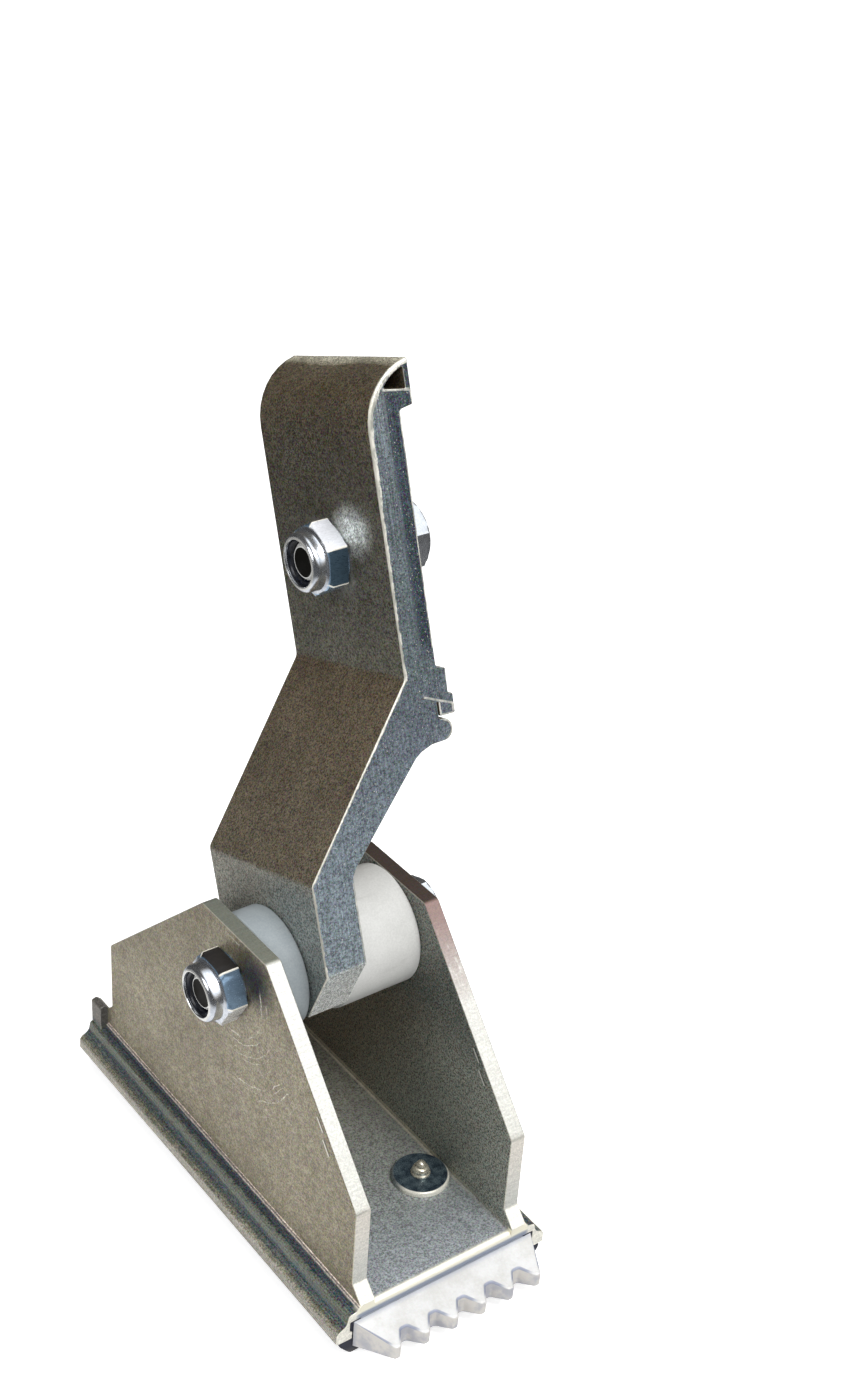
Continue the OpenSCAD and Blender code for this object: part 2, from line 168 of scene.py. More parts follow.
# an outline carried straight along an axis. Towards each end every ring draws in along its normals on a
# quarter circle of its rim's radius, and the end is filled flat. endAt gives the half length at a height,
# so an end may be cut off slantwise below crease. bores are round holes across the piece. What a saw cut
# is marked: the ends, or else the sides.
def carryAlong(maker, axis, low, high, loops, sawnEnds=True, endAt=None, crease=None, bores=(), rimSteps=4):
    order = list(axisOrder[axis])
    quarter = np.linspace(0, np.pi / 2, rimSteps + 1)
    quarter = np.concatenate([quarter, quarter[::-1]])
    drawn, along, tilt = 1 - np.sin(quarter), 1 - np.cos(quarter), np.cos(quarter)
    atHigh = np.arange(len(drawn)) > rimSteps
    # y runs away from the viewer of an (x, z) outline, so that axis turns the faces round
    flip = axis == "y"
    capLoops = {False: [], True: []}
    outer = None
    for loop in loops:
        points, normals, rims = loop["points"], loop["normals"], loop["rims"]
        size = len(points)
        ring = points[None] - normals[None] * (drawn[:, None] * rims[None])[:, :, None]
        ends = (low, high) if endAt is None else (-endAt(points[:, 1]), endAt(points[:, 1]))
        inwards = along[:, None] * rims[None]
        depth = np.where(atHigh[:, None], ends[1] - inwards, ends[0] + inwards)
        flatSide = np.broadcast_to(normals[None] * np.sqrt(1 - tilt ** 2)[:, None, None], ring.shape)
        deep = np.where(atHigh, 1.0, -1.0)[:, None] * np.broadcast_to(tilt[:, None], depth.shape)
        spots = np.concatenate([ring, depth[..., None]], 2)[..., order].reshape(-1, 3)
        facing = np.concatenate([flatSide, deep[..., None]], 2)[..., order].reshape(-1, 3)
        turned = np.broadcast_to(tilt[:, None], depth.shape).ravel()
        sawn = turned if sawnEnds else 1 - turned
        first = maker.addPoints(spots, facing, sawn, 2 * turned * np.sqrt(1 - turned ** 2))
        quads = gridFaces(len(drawn), size, first)
        outer = outer or (first, points)
        keep = np.ones(len(quads), bool)
        for bore in bores:
            keep[rimSteps * size:(rimSteps + 1) * size] &= ~onFace(points, bore)
        maker.addFaces(quads[keep][:, ::-1] if flip else quads[keep])
        capLoops[False].append((first, ring[0]))
        capLoops[True].append((first + (len(drawn) - 1) * size, ring[-1]))
    for atTop, group in capLoops.items():
        for part in [None] if crease is None else [1, -1]:
            outlines, index = [], []
            for first, ring in group:
                inside = np.ones(len(ring), bool) if part is None else (part * (ring[:, 1] - crease) > -1e-6)
                if inside.sum() < 3:
                    continue
                outlines.append(flatPoints(ring[inside]))
                index.append(first + np.flatnonzero(inside))
            index = np.concatenate(index)
            triangles = index[np.array(tessellate_polygon(outlines))]
            maker.addFaces(facedTo(maker, triangles, order.index(2), 1.0 if atTop else -1.0), True)
    for bore in bores:
        addBore(maker, *outer, bore, rimSteps)


# points of a plane with a height of 0, as the filling of outlines takes them
def flatPoints(points):
    return np.pad(points, ((0, 0), (0, 1))).tolist()


# the triangles of one flat are turned together, so that they face the given way along an axis
def facedTo(maker, triangles, axis, way):
    spots = np.concatenate(maker.spots)
    a, b, c = (spots[triangles[:, k]] for k in range(3))
    facing = np.cross(b - a, c - a)[:, axis].sum()
    return triangles[:, ::-1] if facing * way < 0 else triangles


# which sides of an outline are upright and lie on the face that a bore goes through
def onFace(points, bore):
    upright = np.abs(np.roll(points, -1, 0)[:, 0] - points[:, 0]) < 1e-4
    return upright & (np.abs(points[:, 0] - bore["face"]) < 1e-3)


# the wall round a bore is filled between the two rings and the bore's circle, and a tube leads inwards
def addBore(maker, first, points, bore, rimSteps, count=64):
    size, starts = len(points), np.flatnonzero(onFace(points, bore))
    run = np.append(starts, (starts.max() + 1) % size)
    spots = np.concatenate(maker.spots)
    nearRing, farRing = first + rimSteps * size + run, first + (rimSteps + 1) * size + run
    border = np.concatenate([nearRing, farRing[::-1]])
    angle = np.linspace(0, 2 * np.pi, count, endpoint=False)
    circle = np.stack([np.full(count, bore["face"]), bore["along"] + bore["radius"] * np.cos(angle),
                       bore["up"] + bore["radius"] * np.sin(angle)], 1)
    radial = np.tile(np.stack([0 * angle, -np.cos(angle), -np.sin(angle)], 1), (2, 1))
    begin = maker.addPoints(np.concatenate([circle, circle + np.array([bore["depth"], 0, 0])]), radial, 0.5)
    index = np.concatenate([border, begin + np.arange(count)])
    rings = [flatPoints(spots[border][:, 1:]), flatPoints(circle[:, 1:])]
    triangles = index[np.array(tessellate_polygon(rings))]
    maker.addFaces(facedTo(maker, triangles, 0, -bore["depth"]), True)
    tube = gridFaces(2, count, begin)
    maker.addFaces(tube[:, ::-1] if bore["depth"] > 0 else tube)


# points round Z at every angle of a row, for each radius and height
def spun(radius, height, angle):
    return np.stack([radius * np.cos(angle), radius * np.sin(angle), height + 0 * angle], -1).reshape(-1, 3)


# rows of points round Z, joined by faces. The first and last rows are closed with fans of triangles to the
# two poles on the axis, or where there are none the last row joins the first.
def addRows(maker, count, spots, normals, poles, sawn=0.0, edge=0.0):
    rows = len(spots) // count
    first = maker.addPoints(spots, normals, sawn, edge)
    maker.addFaces(gridFaces(rows, count, first, not len(poles)))
    for last, pole in enumerate(poles):
        centre = maker.addPoints(np.array([pole], float), np.array([[0, 0, 2.0 * last - 1]]))
        ring = first + last * (rows - 1) * count + np.arange(count)
        fan = np.stack([ring, np.roll(ring, -1), np.full(count, centre)], 1)
        maker.addFaces(fan if last else fan[:, ::-1])


# a closed profile of (radius, height), anticlockwise, turned about Z. Where it runs along the axis it is
# opened there, and each end is closed with a fan of triangles on the axis.
def turnProfile(maker, corners, count=96, steps=5, middle=(0, 0, 0)):
    outline = roundedOutline(corners, steps)
    points, facing = outline["points"], outline["normals"]
    onAxis = points[:, 0] < 1e-6
    poles = []
    if onAxis.any():
        after = np.flatnonzero(onAxis & ~np.roll(onAxis, -1))[0]
        points, facing, onAxis = (np.roll(values, -after - 1, 0) for values in (points, facing, onAxis))
        poles = [np.array(middle) + (0, 0, level) for level in points[onAxis][[-1, 0], 1]]
        points, facing = points[~onAxis], facing[~onAxis]
    angle = np.linspace(0, 2 * np.pi, count, endpoint=False)[None, :]
    spots = spun(points[:, :1], points[:, 1:], angle) + np.array(middle)
    addRows(maker, count, spots, spun(facing[:, :1], facing[:, 1:], angle), poles)


# the angles round a hexagon, close together at its six corners and wide apart along its flats
def hexagonAngles():
    sixth = np.array([-30, -29.6, -29.2, -28.7, -28, -26, -22, -17, -12, -6,
                      0, 6, 12, 17, 22, 26, 28, 28.7, 29.2, 29.6])
    return np.radians((sixth[None, :] + np.arange(0, 360, 60)[:, None]).ravel())


# the distance from the middle to a hexagon at an angle: the line of its flat, half its width away, or near a
# corner the circle that rounds the corner and touches both flats
def hexagonReach(angle, half, corner=0.35):
    off = np.abs(np.mod(angle + np.pi / 6, np.pi / 3) - np.pi / 6)
    centre = (half - corner) / np.cos(np.pi / 6)
    away = np.pi / 6 - off
    onArc = centre * np.cos(away) + np.sqrt(np.maximum(corner ** 2 - (centre * np.sin(away)) ** 2, 0))
    touching = np.arctan2((half - corner) * np.tan(np.pi / 6), half)
    return np.where(off > touching, onArc, half / np.cos(off))


# a hexagon cut by a turned profile: at each height the lesser of its own reach and the profile's radius, so
# that the corners are cut off along true chamfer curves. A profile that starts and ends on a bore is closed
# through it, and one that starts and ends at no radius is closed on the axis. flatReflections holds, for each
# flat from the one at turned, how dark its painted reflection is, or below 0 how bright it is. A row wider
# than flatFrom shows its flats, and the corners' lines and the face from edgeFrom up are marked as edges,
# which the plated finish paints as highlights.
def turnHexagon(maker, acrossFlats, rows, turned=0.0, flatReflections=(0,) * 6, flatFrom=8.45, edgeFrom=9.85):
    angle = hexagonAngles()[None, :]
    data = np.array(rows, float)
    poles = []
    if data[0, 1] == 0:
        poles, data = [(0, 0, data[0, 0]), (0, 0, data[-1, 0])], data[1:-1]
    radius = np.minimum(hexagonReach(angle, acrossFlats / 2), data[:, 1:])
    height = data[:, :1]
    onFlat = data[:, 1:] > flatFrom
    reflection = onFlat * np.repeat(flatReflections, angle.size // 6)[None, :]
    corner = onFlat * (np.abs(np.mod(angle, np.pi / 3) - np.pi / 6) < np.radians(1.6))
    corner = np.maximum(corner, 0.7 * (height > edgeFrom))
    spots = spun(radius, height, angle + np.radians(turned))
    addRows(maker, angle.size, spots, None, poles, reflection.ravel(), corner.ravel())


# a threaded rod from low to high: the radius follows a triangle wave of the height less the pitch's share
# of the turn, its crests and roots cut flat, and it fades into the plain rod towards runOut
def turnThread(maker, radius, low, high, runOut, pitch=1.5, depth=0.8, count=48):
    height = np.arange(low, runOut + 0.01, pitch / 10)
    angle = np.linspace(0, 2 * np.pi, count, endpoint=False)[None, :]
    wave = np.abs(np.mod(height[:, None] / pitch - angle / (2 * np.pi), 1.0) * 2 - 1)
    groove = np.clip(wave * 1.25 - 0.12, 0, 1) * np.clip((runOut - height[:, None]) / pitch, 0, 1)
    reach = np.minimum(radius - depth * groove, radius - 1.0 + (height[:, None] - low))
    height, reach = np.append(height, high), np.vstack([reach, np.full((1, count), radius)])
    addRows(maker, count, spun(reach, height[:, None], angle), None, [(0, 0, low), (0, 0, high)])


armLean = np.radians(19.1)
pivotSpot = np.array([0.0, -4.0, 74.5])
armTurn = np.array([[1, 0, 0], [0, np.cos(armLean), np.sin(armLean)], [0, -np.sin(armLean), np.cos(armLean)]])
alongX = np.array([[0, 0, 1.0], [1.0, 0, 0], [0, 1.0, 0]])     # Z becomes X, X becomes Y, Y becomes Z
againstX = np.array([[0, 0, -1.0], [-1.0, 0, 0], [0, 1.0, 0]])     # Z becomes -X, X becomes -Y


# where a point of the pivot's axis, or of the stile bolt's, lies at a distance along X
def onPivot(x):
    return pivotSpot + np.array([x, 0, 0])


def onStileBolt(x):
    return pivotSpot + armTurn @ np.array([x, 0, stileBolt["height"]])


# each bolt: where its thread begins along X, its length, the end of its thread, and how its head and nut are
# turned; flatReflections holds the painted reflections on the nut's flats, dark, or bright below 0
stileBolt = {"height": 98.2, "threadEnd": 13.9, "length": 26.8, "runOut": 24.0, "headTurn": 24.0,
             "nutTurn": 41.2, "flatReflections": (0.6, 0.3, 0.2, 0.3, 0.75, -1.0)}
pivotBolt = {"threadEnd": -34.4, "length": 62.4, "runOut": 22.0, "headTurn": 11.0, "nutTurn": 1.5,
             "flatReflections": (0.4, 0.3, 0.2, -0.5, 0.38, 1.0)}
# the rivets' place on the shoe, and the radius from which their washers' rims carry a painted highlight
rivet = {"across": 13.6, "along": -36.7, "bright": 7.25}


# an 8-bit screen colour as the linear values that shaders take
def tone(red, green, blue):
    share = np.array([red, green, blue]) / 255
    return tuple(np.where(share < 0.04045, share / 12.92, ((share + 0.055) / 1.055) ** 2.4).tolist())


# one socket of a node tree, on which sums and mixtures are written as Python expressions
class Signal:
    def __init__(self, graph, socket):
        self.graph, self.socket = graph, socket

    def maths(self, operation, first, second=0.0, clamp=False):
        return self.graph.node("Math", {"operation": operation, "use_clamp": clamp}, n0=first, n1=second)

    def __add__(self, other):
        return self.maths("ADD", self, other)

    def __radd__(self, other):
        return self.maths("ADD", other, self)

    def __sub__(self, other):
        return self.maths("SUBTRACT", self, other)

    def __rsub__(self, other):
        return self.maths("SUBTRACT", other, self)

    def __mul__(self, other):
        return self.maths("MULTIPLY", self, other)

    def __rmul__(self, other):
        return self.maths("MULTIPLY", other, self)

    def __truediv__(self, other):
        return self.maths("DIVIDE", self, other)

    def __pow__(self, other):
        return self.maths("POWER", self, other)

    def limited(self):
        return self.maths("ADD", self, clamp=True)

    def size(self):
        return self.maths("ABSOLUTE", self)

    def least(self, other):
        return self.maths("MINIMUM", self, other)

    def most(self, other):
        return self.maths("MAXIMUM", self, other)

    # a smooth step between two values, and 1 less that step
    def rise(self, low, high, first=0.0, last=1.0):
        return self.graph.node("MapRange", {"interpolation_type": "SMOOTHSTEP"}, n0=self, n1=low, n2=high,
                               n3=first, n4=last)

    def fall(self, low, high):
        return 1 - self.rise(low, high)

    # what is done to a colour: mixed with another, made lighter and darker by a value that is 0.5 in the
    # middle, and given fine specks, each a little lighter, darker or tinted, as a bare drawn surface has
    def blend(self, factor, other):
        return self.graph.mixed(factor, self, other)

    def varied(self, value, amount):
        return self.graph.varied(self, value, amount)

    def specked(self, amount):
        specks = self.graph.node("TexNoise", output="Color", Vector=self.graph.place(), Scale=3.0, Detail=1.5,
                                 Roughness=0.7)
        return self.graph.mixed(amount, self, specks, "LINEAR_LIGHT")


# a node tree and the shader that it feeds, with the one method that adds any node
class Graph:
    def __init__(self, tree, shaderName):
        self.tree, self.shader, self.places = tree, tree.nodes[shaderName], {}

    def node(self, kind, settings=None, output=0, **inputs):
        made = self.tree.nodes.new("ShaderNode" + kind)
        for label, value in (settings or {}).items():
            if label == "stops":
                while len(made.color_ramp.elements) < len(value):
                    made.color_ramp.elements.new(0.5)
                for element, (at, colour) in zip(made.color_ramp.elements, value):
                    element.position, element.color = at, (*colour, 1)
            else:
                setattr(made, label, value)
        for label, value in inputs.items():
            byNumber = label[0] == "n" and label[1:].isdigit()
            socket = made.inputs[int(label[1:]) if byNumber else label]
            if isinstance(value, Signal):
                self.tree.links.new(value.socket, socket)
            else:
                socket.default_value = value
        return Signal(self, made.outputs[output])

    # the piece's own coordinates in millimetres, stretched; each stretch is made once
    def place(self, stretch=(1, 1, 1)):
        if stretch not in self.places:
            own = self.node("Attribute", {"attribute_name": "place"}, "Vector")
            self.places[stretch] = self.node("Mapping", Vector=own, Scale=stretch)
        return self.places[stretch]

    def noise(self, scale, detail=3.0, rough=0.5, stretch=(1, 1, 1)):
        return self.node("TexNoise", Vector=self.place(stretch), Scale=scale, Detail=detail, Roughness=rough)

    # noise on one value alone, which makes rings or stripes
    def rings(self, value, scale, detail, rough=0.5):
        return self.node("TexNoise", {"noise_dimensions": "1D"}, W=value, Scale=scale, Detail=detail,
                         Roughness=rough)

    # colours are given as signals, or as 8-bit screen colours
    def mixed(self, factor, first, second, kind="MIX"):
        first, second = (part if isinstance(part, Signal) else (*tone(*part), 1) for part in (first, second))
        return self.node("Mix", {"data_type": "RGBA", "blend_type": kind}, 2, n0=factor, n6=first, n7=second)

    def varied(self, colour, value, amount):
        return self.mixed(1.0, colour, 1 + (value - 0.5) * amount, "MULTIPLY")

    # colours at heights along a piece, given as a list of (height, colour)
    def tinted(self, value, stops):
        low, high = stops[0][0], stops[-1][0]
        share = self.node("MapRange", n0=value, n1=low, n2=high)
        ramp = [((at - low) / (high - low), tone(*colour)) for at, colour in stops]
        return self.node("ValToRGB", {"stops": ramp}, Fac=share)

    # how far a point lies inside a narrow band round the line from start to stop, in two coordinates: its
    # distance square to the line, and its place along the line, are both limited
    def nearLine(self, across, up, start, stop, width):
        run, climb = stop[0] - start[0], stop[1] - start[1]
        length = float(np.hypot(run, climb))
        along = ((across - start[0]) * run + (up - start[1]) * climb) / length
        off = (((across - start[0]) * climb - (up - start[1]) * run) / length).size()
        inside = along.rise(-0.15, 0.15) * along.fall(length - 0.15, length + 0.15)
        return off.fall(width * 0.6, width) * inside

    # a round patch that fades out from its middle, in two coordinates
    def softPatch(self, across, up, middle, reach):
        away = (((across - middle[0]) / reach[0]) ** 2 + ((up - middle[1]) / reach[1]) ** 2) ** 0.5
        return away.fall(0.2, 1.0)

    def attribute(self, label):
        return self.node("Attribute", {"attribute_name": label}, "Fac")

    def feed(self, label, signal):
        self.tree.links.new(signal.socket, self.shader.inputs[label])

    # what every finish varies over its surface: colour, roughness and a bump in metres
    def finished(self, colour, rough, height, strength, distance=0.0002):
        self.feed("Base Color", colour)
        self.feed("Roughness", rough.limited())
        self.feed("Normal", self.node("Bump", Height=height, Strength=strength, Distance=distance))
        return self.material

    # the three coordinates on the piece
    def parts(self):
        outputs = self.node("SeparateXYZ", Vector=self.place()).socket.node.outputs
        return [Signal(self, output) for output in outputs]

    # whether a ray comes from the camera, and whether it is a mirrored one
    def rays(self):
        outputs = self.node("LightPath").socket.node.outputs
        return Signal(self, outputs["Is Camera Ray"]), Signal(self, outputs["Is Glossy Ray"])


class Finish(Graph):
    def __init__(self, name, **constants):
        self.material = bpy.data.materials.new(name)
        self.material.use_nodes = True
        super().__init__(self.material.node_tree, "Principled BSDF")
        for label, value in constants.items():
            self.shader.inputs[label.replace("_", " ")].default_value = value


# what all drawn aluminium has: a fine grain, clouds, level die lines, and a few long hair scratches, which
# are the thin level lines of a much stretched noise. Its sawn sides and rounded edges are marked in the mesh.
def drawnMarks(finish):
    grain = finish.noise(1.9, 3.0, 0.8).rise(0.34, 0.66)
    coarse = finish.noise(0.42, 3.0, 0.65).rise(0.3, 0.7)
    cloud = finish.noise(0.055, 3.0, 0.5).rise(0.3, 0.7)
    lines = finish.noise(1.0, 3.0, 0.6, stretch=(2.4, 0.02, 2.4)).rise(0.3, 0.7)
    slanting = finish.node("Mapping", Vector=finish.place(), Rotation=(0.5, 0.2, 0.1),
                           Scale=(0.25, 0.05, 0.18))
    hair = (finish.node("TexNoise", Vector=slanting, Scale=1.0, Detail=2.0) - 0.5).size().fall(0.0006, 0.003)
    isSawn, isEdge = finish.attribute("sawn").rise(0.35, 0.65), finish.attribute("edge").rise(0.3, 0.95)
    return grain, coarse, cloud, lines, hair, isSawn, isEdge


# the arm: its half width, the slanted cut of its toe, its two walls' faces across X, and its bores
arm = {"halfWidth": 25.0, "crease": 2.8, "toeHalf": 12.2, "toe": -11.5, "outerRim": 0.45, "innerRim": 0.3,
       "leg": (-12.5, -0.6), "upper": (22.3, 31.8), "pivotBore": 5.1, "stileBore": 5.25}
armLook = {
    # colours of the outer faces and of the sawn sides, by height above the pivot, which paint light and shade:
    # the faces lighter on the lower leg, darker up the upper leg and bright on the nose's top, the sides
    # bright on the toe's slant and darker upwards
    "face": [(-11.5, (150, 150, 141)), (25.6, (146, 144, 134)), (26.9, (122, 113, 97)),
             (69.0, (118, 106, 88)), (70.0, (116, 114, 103)), (96, (99, 97, 88)), (124, (100, 95, 83)),
             (139, (107, 96, 78)), (143.5, (118, 108, 90)), (144.2, (196, 190, 168)),
             (145.3, (226, 222, 204))],
    "sawn": [(-11.5, (240, 240, 236)), (2.6, (208, 211, 209)), (3.4, (136, 147, 154)), (30, (124, 135, 143)),
             (60, (100, 108, 116)), (75, (98, 108, 112)), (128, (104, 112, 118)), (145.3, (116, 122, 124))],
    # painted highlight lines on the sawn sides, in the (x, z) section: start, stop and width
    "lines": [((27.0, 63.5), (35.8, 59.7), 0.34), ((35.2, 57.9), (35.15, 60.0), 0.4),
              ((31.35, 57.9), (31.35, 61.2), 0.28), ((31.4, 57.85), (35.2, 57.6), 0.28),
              ((27.6, 138.6), (35.3, 137.4), 0.45), ((35.45, 137.3), (35.5, 134.2), 0.3),
              ((34.2, 66.0), (34.4, 69.0), 0.25), ((-0.95, 3.0), (-0.95, 24.0), 0.25),
              ((31.55, 75.0), (31.55, 133.0), 0.2)],
    # the painted highlights' colours: on the rounded edges, and low and high along the bright lines and band
    "edge": (214, 211, 198), "bandLow": (166, 165, 155), "glint": (246, 243, 232)}


def armAluminium():
    finish = Finish("armAluminium", Metallic=0.6, IOR=1.45)
    x, y, z = finish.parts()
    grain, coarse, cloud, lines, hair, isSawn, isEdge = drawnMarks(finish)
    # the faces' colour by height is painted light and shade
    face = finish.tinted(z + (cloud - 0.5) * 0.5, armLook["face"])
    # the leg is cooler towards its front, and light thrown back by the nut brightens the leg beside it
    front = y.fall(-14.0, 8.0)
    face = face.blend(front * z.fall(22.0, 28.0) * 0.5, (128, 142, 146))
    thrown = finish.softPatch(y, z, (-11.0, 105.0), (10.5, 8.5)) * (0.6 + coarse * 0.4) * x.fall(23.5, 25.0)
    face = face.blend(thrown, (196, 202, 200))
    face = face.varied(grain, 1.4).varied(coarse, 0.25).varied(cloud, 0.22).varied(lines, 0.1).specked(0.17)
    # the sides' colour by height is painted light and shade
    sawn = finish.tinted(z, armLook["sawn"])
    # the upper leg's sides are painted darker towards their seats, as shade
    sawn = sawn.blend((x + grain * 1.2).rise(27.6, 29.8) * z.rise(71.0, 78.0) * 0.8, (44, 54, 64))
    streaks = finish.noise(1.0, 4.0, 0.7, stretch=(3.4, 1.0, 0.05)).rise(0.32, 0.68)
    sparkle = finish.noise(2.9, 2.0, 0.6, stretch=(1.0, 1.0, 0.7)).rise(0.66, 0.73)
    sawn = sawn.varied(streaks, 0.5 + 0.5 * z.rise(90.0, 110.0)).varied(grain, 1.1).varied(coarse, 0.15)
    sawn = sawn.specked(0.15).blend(sparkle * 0.7, armLook["glint"])
    # painted highlights on the rounded outer edge, and on the ledge, the nib and the round top's floor
    band = armOuterBand(finish)
    for start, stop, width in armLook["lines"]:
        band = band.most(finish.nearLine(x, z, start, stop, width) * (0.55 + coarse * 0.45))
    lobe = ((((x - 31.6) ** 2 + (z - 54.0) ** 2) ** 0.5) - 2.4).size()
    band = band.most(lobe.fall(0.15, 0.35) * x.rise(31.4, 32.8))
    glitter = finish.noise(0.5, 4.0, 0.7, stretch=(1.0, 1.0, 0.5)).rise(0.38, 0.62)
    shine = finish.mixed(glitter, armLook["bandLow"], armLook["glint"])
    colour = face.blend(isSawn, sawn).blend((band * isSawn * 0.9).limited(), shine)
    # the rounded edges get a painted highlight
    colour = colour.blend(isEdge * 0.6, armLook["edge"])
    return finish.finished(colour.blend(hair * (1 - isSawn) * 0.2, (170, 165, 150)),
                           0.38 + grain * 0.14 + isSawn * 0.06 - isEdge * 0.1,
                           grain * 0.5 + lines * 0.4 * (1 - isSawn) + streaks * isSawn + coarse * 0.3,
                           0.25, 0.00012)


# the painted highlight along the arm's outer edge, from the distance in from that edge: to the leg's line, to
# the crank's line where that is nearer, and above the bend to the upper leg's line or, round the top, to the
# circle of its nose
def armOuterBand(finish):
    x, _, z = finish.parts()
    leg, upper = x - arm["leg"][0], x - arm["upper"][0]
    crank = leg * 0.773 - (z - 26.8) * 0.634
    reach = ((x - 38.9) ** 2 + (z - 128.7).most(0.0) ** 2) ** 0.5
    depth = upper.least(16.6 - reach).most(crank).least(leg)
    rag = finish.noise(0.7, 4.0, 0.7, stretch=(1.0, 1.0, 0.45)).rise(0.3, 0.7)
    width = 0.35 + 0.55 * z.rise(95.0, 128.0) + 0.15 * z.rise(60.0, 69.0)
    return (depth - rag * 0.45 + 0.1).fall(width - 0.12, width + 0.12)


shoeLook = {
    # the ears' outer faces vary at random between two tones; the inner faces are painted shade, darker and
    # browner towards the back and darker still at the top
    "outside": ((160, 152, 132), (136, 128, 109)), "inside": ((150, 154, 146), (132, 122, 106)),
    "insideTop": (112, 116, 110),
    # the floor between the ears, by place along the shoe, with painted shade and reflection: darker and warmer
    # towards the back
    "floor": [(-66.0, (168, 173, 178)), (-50.0, (160, 166, 168)), (-34.0, (160, 164, 160)),
              (0.0, (150, 149, 138)), (66.0, (146, 142, 126))],
    # colours across a rail, by distance from the middle: ridge, groove, crest, flare and lip, painted as light
    # and shade: a highlight on the ridge, shade in the groove and on the flare
    "rail": [(25.9, (226, 214, 204)), (26.6, (214, 202, 190)), (26.75, (78, 84, 90)), (28.2, (78, 86, 92)),
             (28.8, (114, 118, 108)), (29.6, (116, 120, 110)), (30.0, (82, 92, 98)),
             (31.2, (104, 110, 106)), (32.2, (140, 138, 120)), (32.6, (164, 160, 148)),
             (32.9, (160, 156, 146))],
    # colours of the ears' sawn edges, by place along the shoe, painted as light and shade: bright on the front
    # ends and the front slopes, darker on the tops and towards the back
    "sawn": [(-66.0, (228, 226, 216)), (-62.4, (228, 226, 216)), (-61.9, (180, 178, 170)),
             (-61.0, (204, 203, 196)), (-20.6, (208, 207, 202)), (-19.4, (136, 138, 126)),
             (12.0, (124, 128, 118)), (66.0, (120, 122, 110))],
    # burrs on the front slopes, in (y, z), each drawn as a painted highlight with a painted shadow beside it
    "burrs": [((-46.6, 57.4), (-44.0, 60.4)), ((-49.6, 51.9), (-46.8, 55.2))]}


